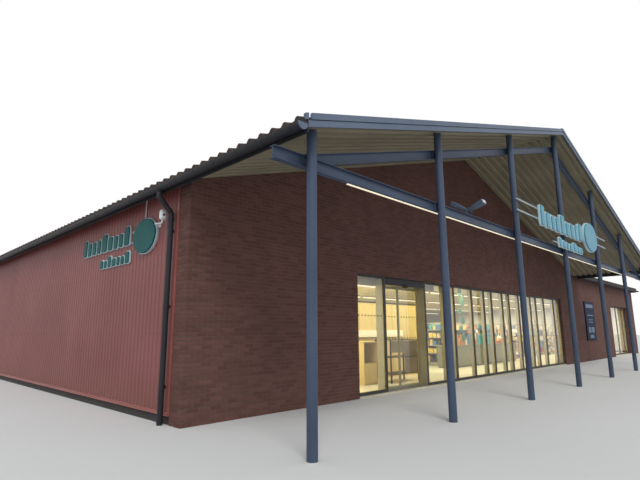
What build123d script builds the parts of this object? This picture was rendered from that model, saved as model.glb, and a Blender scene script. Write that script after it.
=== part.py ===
from build123d import *
import os
from math import cos, radians, sin, sqrt

os.makedirs("parts", exist_ok=True)

# A single-storey supermarket hall with a hipped roof. A gable as high as the hall
# projects over the entrance and rests on seven steel posts. Millimetres, +X along
# the front, +Y into the building, +Z up, origin at the bottom centre of the whole.

# Hall
hall_width = 34500
gable_half = 10760             # left wall face to the ridge of the front gable
hall_depth = 2 * gable_half    # equal spans bring the two ridges to one height
porch_depth = 3340             # front wall face to the face of the verge
brick_wall = 370
side_wall = 250
plinth_height = 155
plinth_set_back = 20
floor_thickness = 40
ceiling_height = 3250
ceiling_thickness = 40

# Roof
roof_slope = 0.30
deck_soffit_z = 7550           # underside of the porch deck at the ridge
deck_depth = 50
deck_sheet = 5
deck_rib_count = 13
deck_rib_width = 110
deck_web_width = 30
roof_thickness = 45            # measured upright
eave_overhang = 250
cap_radius = 110
cap_sink = 30
hip_cap_stop = 200             # from the eave corner to the end of a hip's cap

# Verge in two tiers
verge_rise = 100               # above the panel's underside at the ridge
verge_upper = 93
verge_joint = 10
verge_lower = 92
verge_thickness = 40
verge_lower_thickness = 28
verge_backing = 8
verge_upper_end = 190          # past the wall face, along the front

# Gutters and downpipes
fascia_thickness = 20
fascia_height = 240
fascia_lift = 60               # top of the fascia above the panel's underside
gutter_radius = 80
gutter_sheet = 4
gutter_drop = 75               # gutter rim under the panel's underside
pipe_radius = 50
pipe_sheet = 4
pipe_wall_gap = 40
pipe_corner = 530              # from the wall's corner
pipe_neck_drop = 110
pipe_neck_fall = 260
pipe_bend = 90
pipe_clip = (30, 60)           # width and height
pipe_clip_count = 3
pipe_clip_low = 600
pipe_clip_below_neck = 372

# Porch frame
post_radius = 72.5
post_set_back = 320            # verge face to the post's axis
post_end_inset = 110           # from the wall faces to the outermost posts
post_offsets = (0, 3540, 7160, gable_half - post_end_inset)   # to each side of the middle
beam_width = 100
beam_flange = 10
beam_web = 7
tie_depth = 180
tie_drop = 297                 # panel's underside at the eave to the beam's top
tie_overhang = 500             # past the wall faces
rake_drop = 325                # deck soffit to the top of the rake beam
rake_depth = 180
strip_height = 30
strip_width = 60
strip_set_back = 980

# Front wall openings, from its left corner
glazing_left = 4680
glazing_right = 19600
glazing_head = 3000
door_left = 5950
door_right = 7850
window_width = 4600
window_from_corner = 1400      # to the right corner of the hall

# Aluminium frames
frame_set_back = 100
frame_depth = 150
frame_side = 55
frame_bottom = 60
frame_top = 50
mullion = 60
door_mullion = 80
door_mullion_depth = 250
first_bay = 1164               # door opening to the middle of the first mullion
bay_module = 308
bay_modules = (2, 4, 3, 2, 3, 2, 3, 2, 2, 2, 3, 4)
window_mullions_at = (2500, 3900)
window_set_back = 300          # in the recess of the right window
window_depth = 70
glass_set_in = 20              # behind the front of the frames
glass_thickness = 12

# Sliding door
leaf_top_z = 2790
leaf_thickness = 40
leaf_clear = 20                # behind the door mullions
leaf_floor_gap = 10
leaf_meeting_gap = 6
leaf_lap = 30                  # behind the door mullions
leaf_stile = 35
leaf_rail = 60
leaf_glass = 10
leaf_travel = 900
track_height = 170
track_wall = 8
track_slot = 24
track_lift = 20                # over the leaf
track_extra = 60               # past the open leaves
header_underside = 2800
roller_radius = 30
roller_width = 20
roller_gap = 0.3
hanger_plate = 8
hanger_width = 70

# Fittings
rail_heights = (470, 750)      # above the tie beam
rail_past_left = 120           # beyond the third post
rail_past_right = 800          # beyond the fifth post
rail_size = (30, 40)
lamp_bracket = (4000, 5600)
lamp_bracket_size = (60, 30)
lamp_stem = 190
lamp_stem_width = 30
lamp_face = (360, 260)
lamp_back = (220, 150)
lamp_depth = 130
lamp_tilt = 35
camera_from_corner = 760
camera_drop = 657              # panel's underside at the eave to the arm
camera_arm = 230
camera_arm_half = 18
camera_body = (90, 300, 90)
camera_plate = (12, 60)        # thickness and half width
board_left = 23100
board_right = 24700
board_z = (1030, 3050)
board_thickness = 60

# Fittings of the hall that show through the shopfront, behind the front wall's face
screen_left = 5800
screen_right = 11300
screen_behind = 2400
screen_thickness = 80
screen_top = 2500
cabinet_left = 6640
cabinet_behind = 1450
cabinet_size = (600, 500, 1200)
cabinet_board = 20
rack_left = 7550
rack_behind = 1150
rack_size = (1500, 600, 1280)
rack_leg = 40
rack_shelf = 25
rack_shelves = (260, 760)
counter_left = 13700
counter_behind = 2600
counter_size = (6700, 700, 920)
counter_top = 40
counter_lip = 30
counter_toe = 80
shelf_run_count = 8
shelf_run_left = 12600
shelf_run_pitch = 2500
shelf_run_behind = 3600
shelf_run_length = 9000
shelf_run_height = 1900
shelf_run_depth = 900
shelf_plinth = 160
shelf_back = 50
shelf_board = 30
shelf_levels = (560, 900, 1240, 1580)

# Positions that follow from the sizes above
gutter_reach = eave_overhang + fascia_thickness + 2 * gutter_radius - gutter_sheet / 2
left_x = -hall_width / 2
right_x = hall_width / 2
ridge_x = left_x + gable_half
gable_right_x = left_x + 2 * gable_half
front_y = (porch_depth - hall_depth - gutter_reach) / 2
back_y = front_y + hall_depth
ridge_y = front_y + gable_half
panel_front_y = front_y - porch_depth + verge_thickness
post_y = front_y - porch_depth + post_set_back
beam_front_y = post_y + post_radius
panel_ridge_z = deck_soffit_z + deck_depth
eave_run = gable_half + eave_overhang
eave_z = panel_ridge_z - roof_slope * eave_run
verge_top_z = panel_ridge_z + verge_rise
tie_top_z = eave_z - tie_drop
tie_soffit_z = tie_top_z - tie_depth
slant = sqrt(1 + roof_slope ** 2)


def block(x, y, z, mode=Mode.ADD):
    """A box between a low and a high limit on each axis."""
    with Locations([((x[0] + x[1]) / 2, (y[0] + y[1]) / 2, (z[0] + z[1]) / 2)]):
        Box(x[1] - x[0], y[1] - y[0], z[1] - z[0], mode=mode)


def outline(*points):
    """A filled outline with straight sides, added to the open sketch."""
    Polygon(*points, align=None)


def save(piece, name):
    """Label a finished piece and write its file."""
    piece.part.label = name
    export_step(piece.part, f"parts/{name}.step")


# The space under the roof panels: a long gable cut by its hips, and the front gable
with BuildPart() as under_roof:
    with BuildSketch(Plane.YZ.offset(left_x - eave_overhang)):
        outline(
            (ridge_y - eave_run, 0), (ridge_y + eave_run, 0), (ridge_y + eave_run, eave_z),
            (ridge_y, panel_ridge_z), (ridge_y - eave_run, eave_z),
        )
    extrude(amount=hall_width + 2 * eave_overhang)
    with BuildSketch(Plane.XZ.offset(-ridge_y)):
        outline(
            (left_x - eave_overhang, 0), (right_x + eave_overhang, 0),
            (right_x + eave_overhang, eave_z), (right_x - gable_half, panel_ridge_z),
            (ridge_x, panel_ridge_z), (left_x - eave_overhang, eave_z),
        )
    extrude(amount=eave_run, both=True, mode=Mode.INTERSECT)
    with BuildSketch(Plane.XZ.offset(-ridge_y)):
        outline(
            (ridge_x - eave_run, 0), (ridge_x + eave_run, 0), (ridge_x + eave_run, eave_z),
            (ridge_x, panel_ridge_z), (ridge_x - eave_run, eave_z),
        )
    extrude(amount=ridge_y - panel_front_y)


def cut_to_roof(lift=0, mode=Mode.INTERSECT):
    """Cut the open part to the space under the roof, or to that space raised or lowered."""
    add(under_roof.part.moved(Location((0, 0, lift))), mode=mode)


# Walls: brick in front, clad walls on the other sides, each on its own plinth step
brick_back_y = front_y + brick_wall
glazing_x = (left_x + glazing_left, left_x + glazing_right)
window_x = (right_x - window_from_corner - window_width, right_x - window_from_corner)
wall_z = (0, panel_ridge_z)

with BuildPart() as front_wall_left:
    block((left_x, glazing_x[0]), (front_y, brick_back_y), wall_z)
    cut_to_roof()
save(front_wall_left, "front_wall_left")

with BuildPart() as front_gable:
    block(glazing_x, (front_y, brick_back_y), (glazing_head, panel_ridge_z))
    cut_to_roof()
save(front_gable, "front_gable")

with BuildPart() as front_wall_right:
    block((glazing_x[1], right_x), (front_y, brick_back_y), wall_z)
    cut_to_roof()
    block(window_x, (front_y, brick_back_y), (0, glazing_head), mode=Mode.SUBTRACT)
save(front_wall_right, "front_wall_right")


def clad_wall_section(outward):
    """Upright section of a clad wall, with its outer face on local x 0 and its plinth set back."""
    outline(
        (-outward * plinth_set_back, 0), (-outward * side_wall, 0),
        (-outward * side_wall, panel_ridge_z), (0, panel_ridge_z),
        (0, plinth_height), (-outward * plinth_set_back, plinth_height),
    )


for name, face_x, outward in (("side_wall_left", left_x, -1), ("side_wall_right", right_x, 1)):
    with BuildPart() as clad_wall:
        section = Plane(origin=(face_x, back_y, 0), x_dir=(1, 0, 0), z_dir=(0, -1, 0))
        with BuildSketch(section):
            clad_wall_section(outward)
        extrude(amount=back_y - brick_back_y)
        cut_to_roof()
    save(clad_wall, name)

with BuildPart() as back_wall:
    section = Plane(origin=(left_x + side_wall, back_y, 0), x_dir=(0, 1, 0), z_dir=(1, 0, 0))
    with BuildSketch(section):
        clad_wall_section(1)
    extrude(amount=hall_width - 2 * side_wall)
    cut_to_roof()
save(back_wall, "back_wall")

# Floor inside the walls and under the frames, and the ceiling between the walls
inside_x = (left_x + side_wall, right_x - side_wall)
inside_y = (brick_back_y, back_y - side_wall)

with BuildPart() as floor:
    block(inside_x, inside_y, (0, floor_thickness))
    for opening in (glazing_x, window_x):
        block(opening, (front_y, brick_back_y), (0, floor_thickness))
save(floor, "floor")

with BuildPart() as ceiling:
    block(inside_x, inside_y, (ceiling_height, ceiling_height + ceiling_thickness))
save(ceiling, "ceiling")

with BuildPart() as entrance_screen:
    block(
        (left_x + screen_left, left_x + screen_right),
        (front_y + screen_behind, front_y + screen_behind + screen_thickness),
        (floor_thickness, screen_top),
    )
save(entrance_screen, "entrance_screen")

cabinet_x = (left_x + cabinet_left, left_x + cabinet_left + cabinet_size[0])
cabinet_y = (front_y + cabinet_behind, front_y + cabinet_behind + cabinet_size[1])
cabinet_z = (floor_thickness, floor_thickness + cabinet_size[2])
with BuildPart() as cabinet:
    block(cabinet_x, cabinet_y, cabinet_z)
    block(
        (cabinet_x[0] + cabinet_board, cabinet_x[1] - cabinet_board),
        (cabinet_y[0], cabinet_y[1] - cabinet_board),
        (sum(cabinet_z) / 2, cabinet_z[1] - cabinet_board),
        mode=Mode.SUBTRACT,
    )
save(cabinet, "cabinet")

rack_x = (left_x + rack_left, left_x + rack_left + rack_size[0])
rack_y = (front_y + rack_behind, front_y + rack_behind + rack_size[1])
rack_top_z = floor_thickness + rack_size[2]
with BuildPart() as display_rack:
    for leg_x in (rack_x[0], rack_x[1] - rack_leg):
        for leg_y in (rack_y[0], rack_y[1] - rack_leg):
            block((leg_x, leg_x + rack_leg), (leg_y, leg_y + rack_leg), (floor_thickness, rack_top_z))
    for top_z in [floor_thickness + z for z in rack_shelves] + [rack_top_z]:
        block(rack_x, rack_y, (top_z - rack_shelf, top_z))
save(display_rack, "display_rack")

with BuildPart() as counter:
    counter_x = (left_x + counter_left, left_x + counter_left + counter_size[0])
    counter_y = (front_y + counter_behind, front_y + counter_behind + counter_size[1])
    counter_top_z = floor_thickness + counter_size[2]
    for lip, z in (
        (2 * counter_lip, (floor_thickness, floor_thickness + counter_toe)),
        (counter_lip, (floor_thickness + counter_toe, counter_top_z - counter_top)),
        (0, (counter_top_z - counter_top, counter_top_z)),
    ):
        block((counter_x[0] + lip, counter_x[1] - lip), (counter_y[0] + lip, counter_y[1] - lip), z)
save(counter, "counter")

with BuildPart() as shelving:
    shelf_y = (front_y + shelf_run_behind, front_y + shelf_run_behind + shelf_run_length)
    for run in range(shelf_run_count):
        run_mid = left_x + shelf_run_left + run * shelf_run_pitch
        run_x = (run_mid - shelf_run_depth / 2, run_mid + shelf_run_depth / 2)
        block(run_x, shelf_y, (floor_thickness, floor_thickness + shelf_plinth))
        block(
            (run_mid - shelf_back / 2, run_mid + shelf_back / 2), shelf_y,
            (floor_thickness, floor_thickness + shelf_run_height),
        )
        for z in shelf_levels:
            block(run_x, shelf_y, (floor_thickness + z - shelf_board, floor_thickness + z))
save(shelving, "shelving")


# Roof panels: each side is an outline on its own sloping plane, raised upright
def eave_plane(x, y, along_x, along_y):
    """Underside of a roof side: local x runs along its eave, local y up its slope."""
    uphill_normal = (along_y * roof_slope, -along_x * roof_slope, 1)
    return Plane(origin=(x, y, eave_z), x_dir=(along_x, along_y, 0), z_dir=uphill_normal)


left_eave_x = left_x - eave_overhang
right_eave_x = right_x + eave_overhang
gable_eave_x = gable_right_x + eave_overhang
front_eave_y = front_y - eave_overhang
back_eave_y = back_y + eave_overhang
left_eave = back_eave_y - panel_front_y
porch_eave = front_eave_y - panel_front_y
front_eave = hall_width - 2 * gable_half
back_eave = hall_width + 2 * eave_overhang

roof_sides = (
    ("roof_left", eave_plane(left_eave_x, back_eave_y, 0, -1),
     ((0, 0), (left_eave, 0), (left_eave, eave_run), (eave_run, eave_run))),
    ("roof_gable_right", eave_plane(gable_eave_x, panel_front_y, 0, 1),
     ((0, 0), (porch_eave, 0), (porch_eave + eave_run, eave_run), (0, eave_run))),
    ("roof_front_right", eave_plane(gable_eave_x, front_eave_y, 1, 0),
     ((0, 0), (front_eave, 0), (front_eave - eave_run, eave_run), (-eave_run, eave_run))),
    ("roof_right", eave_plane(right_eave_x, front_eave_y, 0, 1),
     ((0, 0), (2 * eave_run, 0), (eave_run, eave_run))),
    ("roof_back", eave_plane(right_eave_x, back_eave_y, -1, 0),
     ((0, 0), (back_eave, 0), (back_eave - eave_run, eave_run), (eave_run, eave_run))),
)
for name, plane, corners in roof_sides:
    with BuildPart() as roof_panel:
        with BuildSketch(plane):
            outline(*[(along, run * slant) for along, run in corners])
        extrude(amount=roof_thickness, dir=(0, 0, 1))
    save(roof_panel, name)


# Porch soffit: a ribbed steel deck whose ribs run down each slope
deck_pitch = (front_y - panel_front_y) / deck_rib_count
deck_flat = deck_pitch - deck_rib_width - 2 * deck_web_width
deck_line = []
for rib in range(deck_rib_count):
    start = panel_front_y + rib * deck_pitch
    web_start = start + deck_flat / 2
    rib_start = web_start + deck_web_width
    rib_end = rib_start + deck_rib_width
    rib_z = eave_z - deck_depth + deck_sheet
    deck_line += [
        (web_start, eave_z), (rib_start, rib_z), (rib_end, rib_z),
        (rib_end + deck_web_width, eave_z),
    ]
deck_line = [(panel_front_y, eave_z)] + deck_line + [(front_y, eave_z)]
deck_underside = [(y, z - deck_sheet) for y, z in reversed(deck_line)]

for name, eave_x, uphill in (
    ("porch_deck_left", left_eave_x, 1), ("porch_deck_right", gable_eave_x, -1),
):
    with BuildPart() as porch_deck:
        with BuildSketch(Plane.YZ.offset(eave_x)):
            outline(*deck_line, *deck_underside)
        extrude(amount=eave_run * slant, dir=(uphill, 0, roof_slope))
    save(porch_deck, name)


# Verges: a backing strip with a thick upper and a thinner lower tier in front
lower_top_z = verge_top_z - verge_upper - verge_joint
upper_run = gable_half + verge_upper_end
lower_run = eave_run
verge_depth = verge_upper + verge_joint + verge_lower
verge_tiers = (                # run from the ridge, top, depth, thickness
    (upper_run, verge_top_z, verge_depth, verge_backing),
    (upper_run, verge_top_z, verge_upper, verge_thickness),
    (lower_run, lower_top_z, verge_lower, verge_lower_thickness),
)
for name, side in (("verge_left", -1), ("verge_right", 1)):
    with BuildPart() as verge:
        for run, top, depth, thickness in verge_tiers:
            end_x = ridge_x + side * run
            end_z = top - roof_slope * run
            with BuildSketch(Plane.XZ.offset(-panel_front_y)):
                outline((ridge_x, top), (end_x, end_z), (end_x, end_z - depth), (ridge_x, top - depth))
            extrude(amount=thickness)
    save(verge, name)

# Ridge, hip and gable caps: round caps cut to the roof's top surface
ridge_start = Vector(ridge_x, ridge_y, panel_ridge_z + roof_thickness - cap_sink)
ridge_end = ridge_start + Vector(right_x - gable_half - ridge_x, 0, 0)
hip_run = eave_run - hip_cap_stop
hip_fall = -roof_slope * hip_run
cap_runs = (
    (ridge_start, Vector(0, panel_front_y - ridge_y, 0)),
    (ridge_start, ridge_end - ridge_start),
    (ridge_start, Vector(-hip_run, hip_run, hip_fall)),
    (ridge_end, Vector(hip_run, hip_run, hip_fall)),
    (ridge_end, Vector(hip_run, -hip_run, hip_fall)),
)
with BuildPart() as ridge_caps:
    for start, run in cap_runs:
        with BuildSketch(Plane(origin=start, z_dir=run)):
            Circle(cap_radius)
        extrude(amount=run.length)
    cut_to_roof(lift=roof_thickness, mode=Mode.SUBTRACT)
save(ridge_caps, "ridge_caps")

# Gutters: half-round runs on their fascia boards, mitred where two runs meet
gutter_rim_z = eave_z - gutter_drop
gutter_front_y = panel_front_y - verge_lower_thickness


def gutter_run(name, x, y, along, length, start, end):
    """A run along one eave. Its ends are square, or mitred round an outer or inner corner."""
    along = Vector(*along, 0)
    outward = Vector(along.Y, -along.X, 0)
    corner = Vector(x, y, gutter_rim_z)
    extra = {"square": 0, "outer": gutter_reach, "inner": 0}
    centre = fascia_thickness + gutter_radius - gutter_sheet / 2
    fascia_top = gutter_drop + fascia_lift
    with BuildPart() as gutter:
        section = Plane(origin=corner - along * extra[start], x_dir=outward, z_dir=along * -1)
        with BuildSketch(section):
            with Locations((centre, 0)):
                Circle(gutter_radius)
                Circle(gutter_radius - gutter_sheet, mode=Mode.SUBTRACT)
            with Locations((centre, gutter_radius / 2)):
                Rectangle(2 * gutter_radius, gutter_radius, mode=Mode.SUBTRACT)
            with Locations((fascia_thickness / 2, fascia_top - fascia_height / 2)):
                Rectangle(fascia_thickness, fascia_height)
        extrude(amount=-(length + extra[start] + extra[end]))
        for at, kind, inward in ((0, start, 1), (length, end, -1)):
            end_point = corner + along * at
            if kind == "square":
                stop_end = Plane(origin=end_point, x_dir=outward, z_dir=along * -inward)
                with BuildSketch(stop_end):
                    with Locations((centre, 0)):
                        Circle(gutter_radius)
                    with Locations((centre, gutter_radius / 2)):
                        Rectangle(2 * gutter_radius, gutter_radius, mode=Mode.SUBTRACT)
                extrude(amount=-gutter_sheet)
            else:
                turn = 1 if kind == "outer" else -1
                mitre = Plane(origin=end_point, z_dir=along * inward + outward * turn)
                split(bisect_by=mitre, keep=Keep.TOP)
    save(gutter, name)


gutter_run("gutter_left", left_eave_x, back_eave_y, (0, -1), back_eave_y - gutter_front_y, "outer", "square")
gutter_run("gutter_back", right_eave_x, back_eave_y, (-1, 0), back_eave, "outer", "outer")
gutter_run("gutter_right", right_eave_x, front_eave_y, (0, 1), 2 * eave_run, "outer", "outer")
gutter_run("gutter_front", gable_eave_x, front_eave_y, (1, 0), front_eave, "inner", "outer")
gutter_run("gutter_porch", gable_eave_x, gutter_front_y, (0, 1), front_eave_y - gutter_front_y, "square", "inner")

# Downpipes: a swan neck under the gutter, then straight down the wall in clips
pipe_out = pipe_wall_gap + pipe_radius
neck_out = gutter_reach - gutter_radius
neck_top_z = gutter_rim_z - gutter_radius
neck_foot_z = neck_top_z - pipe_neck_drop - pipe_neck_fall
clip_step = (neck_foot_z - pipe_clip_below_neck - pipe_clip_low) / (pipe_clip_count - 1)
for name, face_x, outward, y in (
    ("downpipe_left", left_x, -1, front_y + pipe_corner),
    ("downpipe_left_rear", left_x, -1, back_y - pipe_corner),
    ("downpipe_right", right_x, 1, front_y + pipe_corner),
    ("downpipe_right_rear", right_x, 1, back_y - pipe_corner),
):
    with BuildPart() as downpipe:
        with BuildLine() as route:
            FilletPolyline(
                (face_x + outward * neck_out, y, neck_top_z),
                (face_x + outward * neck_out, y, neck_top_z - pipe_neck_drop),
                (face_x + outward * pipe_out, y, neck_foot_z),
                (face_x + outward * pipe_out, y, 0),
                radius=pipe_bend,
            )
        with BuildSketch(Plane(origin=route.line @ 0, z_dir=route.line % 0)):
            Circle(pipe_radius)
            Circle(pipe_radius - pipe_sheet, mode=Mode.SUBTRACT)
        sweep()
        clip_out = pipe_wall_gap + pipe_sheet / 2
        clip_x = sorted((face_x, face_x + outward * clip_out))
        for clip in range(pipe_clip_count):
            z = pipe_clip_low + clip * clip_step
            block(clip_x, (y - pipe_clip[0] / 2, y + pipe_clip[0] / 2), (z, z + pipe_clip[1]))
    save(downpipe, name)

# Porch posts: round tubes cut to the slope of the deck, counted from the left
post_xs = [ridge_x - offset for offset in reversed(post_offsets)]
post_xs += [ridge_x + offset for offset in post_offsets[1:]]
for number, post_x in enumerate(post_xs, start=1):
    with BuildPart() as post:
        with BuildSketch(Plane.XY):
            with Locations((post_x, post_y)):
                Circle(post_radius)
        extrude(amount=deck_soffit_z)
        cut_to_roof(lift=-deck_depth)
    save(post, f"post_{number}")

# Tie beam behind the posts: an I-section, with a light strip under it
beam_y = (beam_front_y, beam_front_y + beam_width)
beam_recess = (beam_width - beam_web) / 2
beam_recesses = ((beam_y[0], beam_y[0] + beam_recess), (beam_y[1] - beam_recess, beam_y[1]))
with BuildPart() as tie_beam:
    tie_half = gable_half + tie_overhang
    tie_x = (ridge_x - tie_half, ridge_x + tie_half)
    block(tie_x, beam_y, (tie_soffit_z, tie_top_z))
    for recess_y in beam_recesses:
        block(tie_x, recess_y, (tie_soffit_z + beam_flange, tie_top_z - beam_flange), mode=Mode.SUBTRACT)
save(tie_beam, "tie_beam")

with BuildPart() as light_strip:
    strip_half = gable_half - strip_set_back
    strip_y = beam_front_y + (beam_width - strip_width) / 2
    block(
        (ridge_x - strip_half, ridge_x + strip_half),
        (strip_y, strip_y + strip_width),
        (tie_soffit_z - strip_height, tie_soffit_z),
    )
save(light_strip, "light_strip")

# Rake beams: the same section from the top of the tie beam up each slope to the ridge
rake_top_z = deck_soffit_z - rake_drop
rake_bottom_z = rake_top_z - rake_depth


def rake_outline(side, top_z, bottom_z):
    """Side view of a stretch of the rake between two heights at the ridge, cut off on the tie beam."""
    outline(
        (ridge_x, top_z),
        (ridge_x + side * (top_z - tie_top_z) / roof_slope, tie_top_z),
        (ridge_x + side * (bottom_z - tie_top_z) / roof_slope, tie_top_z),
        (ridge_x, bottom_z),
    )


for name, side in (("rake_beam_left", -1), ("rake_beam_right", 1)):
    with BuildPart() as rake_beam:
        with BuildSketch(Plane.XZ.offset(-beam_y[1])):
            rake_outline(side, rake_top_z, rake_bottom_z)
        extrude(amount=beam_width)
        for recess_y in beam_recesses:
            with BuildSketch(Plane.XZ.offset(-recess_y[1])):
                rake_outline(side, rake_top_z - beam_flange, rake_bottom_z + beam_flange)
            extrude(amount=beam_recess, mode=Mode.SUBTRACT)
    save(rake_beam, name)

# Shopfront: fixed frames either side of the door, each with its glass
frame_y = (front_y + frame_set_back, front_y + frame_set_back + frame_depth)
frame_z = (floor_thickness, glazing_head)
pane_z = (floor_thickness + frame_bottom, glazing_head - frame_top)
door_x = (left_x + door_left, left_x + door_right)
door_mullion_y = (frame_y[0], frame_y[0] + door_mullion_depth)

mullion_middles = [door_x[1] + first_bay]
for modules in bay_modules:
    mullion_middles.append(mullion_middles[-1] + modules * bay_module)
pane_starts = [door_x[1] + door_mullion] + [middle + mullion / 2 for middle in mullion_middles]
pane_ends = [middle - mullion / 2 for middle in mullion_middles] + [glazing_x[1] - frame_side]

window_y = (front_y + window_set_back, front_y + window_set_back + window_depth)
window_middles = [window_x[0] + middle for middle in window_mullions_at]
window_starts = [window_x[0] + frame_side] + [middle + mullion / 2 for middle in window_middles]
window_ends = [middle - mullion / 2 for middle in window_middles] + [window_x[1] - frame_side]

glazed_frames = (              # name, width, depth, panes, middle of the deep mullion beside the door
    ("side_light", (glazing_x[0], door_x[0]), frame_y,
     [(glazing_x[0] + frame_side, door_x[0] - door_mullion)], [door_x[0] - door_mullion / 2]),
    ("shopfront", (door_x[1], glazing_x[1]), frame_y,
     list(zip(pane_starts, pane_ends)), [door_x[1] + door_mullion / 2]),
    ("window", window_x, window_y, list(zip(window_starts, window_ends)), []),
)
for name, frame_x, depth_y, panes, deep_mullions in glazed_frames:
    glass_y = (depth_y[0] + glass_set_in, depth_y[0] + glass_set_in + glass_thickness)
    with BuildPart() as frame:
        block(frame_x, depth_y, frame_z)
        for pane_x in panes:
            block(pane_x, depth_y, pane_z, mode=Mode.SUBTRACT)
        for middle in deep_mullions:
            block((middle - door_mullion / 2, middle + door_mullion / 2), door_mullion_y, frame_z)
    save(frame, f"{name}_frame")
    with BuildPart() as glass:
        for pane_x in panes:
            block(pane_x, glass_y, pane_z)
    save(glass, f"{name}_glass")

# Door header: a box between the deep mullions, and behind it a track with a slot below
leaf_y = (door_mullion_y[1] + leaf_clear, door_mullion_y[1] + leaf_clear + leaf_thickness)
leaf_mid_y = sum(leaf_y) / 2
track_z = (leaf_top_z + track_lift, leaf_top_z + track_lift + track_height)
track_y = (door_mullion_y[1], 2 * leaf_mid_y - door_mullion_y[1])
track_x = (door_x[0] - leaf_lap - leaf_travel - track_extra,
           door_x[1] + leaf_lap + leaf_travel + track_extra)
with BuildPart() as door_header:
    block(door_x, door_mullion_y, (header_underside, glazing_head))
    block(track_x, track_y, track_z)
    block(
        (track_x[0] + track_wall, track_x[1] - track_wall),
        (track_y[0] + track_wall, track_y[1] - track_wall),
        (track_z[0] + track_wall, track_z[1] - track_wall),
        mode=Mode.SUBTRACT,
    )
    block(
        (track_x[0] + track_wall, track_x[1] - track_wall),
        (leaf_mid_y - track_slot / 2, leaf_mid_y + track_slot / 2),
        (track_z[0], track_z[0] + track_wall),
        mode=Mode.SUBTRACT,
    )
save(door_header, "door_header")

# Door leaves: framed glass hung by two rollers that run on the lips of the track
door_mid = sum(door_x) / 2
leaf_z = (floor_thickness + leaf_floor_gap, leaf_top_z)
for name, side in (("door_leaf_left", -1), ("door_leaf_right", 1)):
    near = door_mid + side * leaf_meeting_gap / 2
    far = door_mid + side * ((door_right - door_left) / 2 + leaf_lap)
    leaf_x = sorted((near, far))
    pane_x = (leaf_x[0] + leaf_stile, leaf_x[1] - leaf_stile)
    leaf_pane_z = (leaf_z[0] + leaf_rail, leaf_z[1] - leaf_rail)
    with BuildPart() as door_leaf:
        block(leaf_x, leaf_y, leaf_z)
        block(pane_x, leaf_y, leaf_pane_z, mode=Mode.SUBTRACT)
        roller_z = track_z[0] + track_wall + roller_gap + roller_radius
        for hanger_x in (pane_x[0] + hanger_width, pane_x[1] - hanger_width):
            block(
                (hanger_x - hanger_width / 2, hanger_x + hanger_width / 2),
                (leaf_mid_y - hanger_plate / 2, leaf_mid_y + hanger_plate / 2),
                (leaf_z[1], roller_z + roller_radius / 2),
            )
            for roller_side in (-1, 1):
                roller_mid = leaf_mid_y + roller_side * (hanger_plate + roller_width) / 2
                with Locations(Location((hanger_x, roller_mid, roller_z), (90, 0, 0))):
                    Cylinder(roller_radius, roller_width)
    save(door_leaf, name)
    with BuildPart() as leaf_pane:
        block(pane_x, (leaf_mid_y - leaf_glass / 2, leaf_mid_y + leaf_glass / 2), leaf_pane_z)
    save(leaf_pane, f"{name}_glass")

# Sign rails on the front of the posts
rail_y = (post_y - post_radius - rail_size[0], post_y - post_radius)
rail_x = (post_xs[2] - rail_past_left, post_xs[4] + rail_past_right)
with BuildPart() as sign_rails:
    for z in rail_heights:
        block(rail_x, rail_y, (tie_top_z + z, tie_top_z + z + rail_size[1]))
save(sign_rails, "sign_rails")

# Floodlights: two tapered heads on stems from one bar on the tie beam
with BuildPart() as floodlights:
    bar_x = (left_x + lamp_bracket[0], left_x + lamp_bracket[1])
    bar_mid_y = sum(beam_y) / 2
    bar_y = (bar_mid_y - lamp_bracket_size[0] / 2, bar_mid_y + lamp_bracket_size[0] / 2)
    bar_z = (tie_top_z, tie_top_z + lamp_bracket_size[1])
    block(bar_x, bar_y, bar_z)
    facing = Vector(0, -cos(radians(lamp_tilt)), -sin(radians(lamp_tilt)))
    for end, inward in ((bar_x[0], 1), (bar_x[1], -1)):
        lamp_x = end + inward * lamp_face[0] / 2
        stem_x = (lamp_x - lamp_stem_width / 2, lamp_x + lamp_stem_width / 2)
        block(stem_x, bar_y, (bar_z[1], bar_z[1] + lamp_stem))
        back = Vector(lamp_x, bar_mid_y, bar_z[1] + lamp_stem)
        with BuildSketch(Plane(origin=back, x_dir=(1, 0, 0), z_dir=facing)):
            Rectangle(*lamp_back)
        with BuildSketch(Plane(origin=back + facing * lamp_depth, x_dir=(1, 0, 0), z_dir=facing)):
            Rectangle(*lamp_face)
        loft()
save(floodlights, "floodlights")

# Camera: a box head on an arm and a wall plate, on the left side wall
with BuildPart() as wall_camera:
    camera_z = eave_z - camera_drop
    arm_y = front_y + camera_from_corner
    arm_end = left_x - camera_arm
    plate_out, plate_half = camera_plate
    block((left_x - plate_out, left_x), (arm_y - plate_half, arm_y + plate_half),
          (camera_z - plate_half, camera_z + plate_half))
    block((arm_end, left_x - plate_out), (arm_y - camera_arm_half, arm_y + camera_arm_half),
          (camera_z - camera_arm_half, camera_z + camera_arm_half))
    block((arm_end - camera_body[0] / 2, arm_end + camera_body[0] / 2),
          (arm_y - camera_body[1] / 2, arm_y + camera_body[1] / 2),
          (camera_z + camera_arm_half, camera_z + camera_arm_half + camera_body[2]))
save(wall_camera, "wall_camera")

# Notice board on the brick wall
with BuildPart() as notice_board:
    block((left_x + board_left, left_x + board_right), (front_y - board_thickness, front_y), board_z)
save(notice_board, "notice_board")
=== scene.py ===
import bmesh
import bpy
import numpy as np
from mathutils import Matrix, Vector


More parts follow.
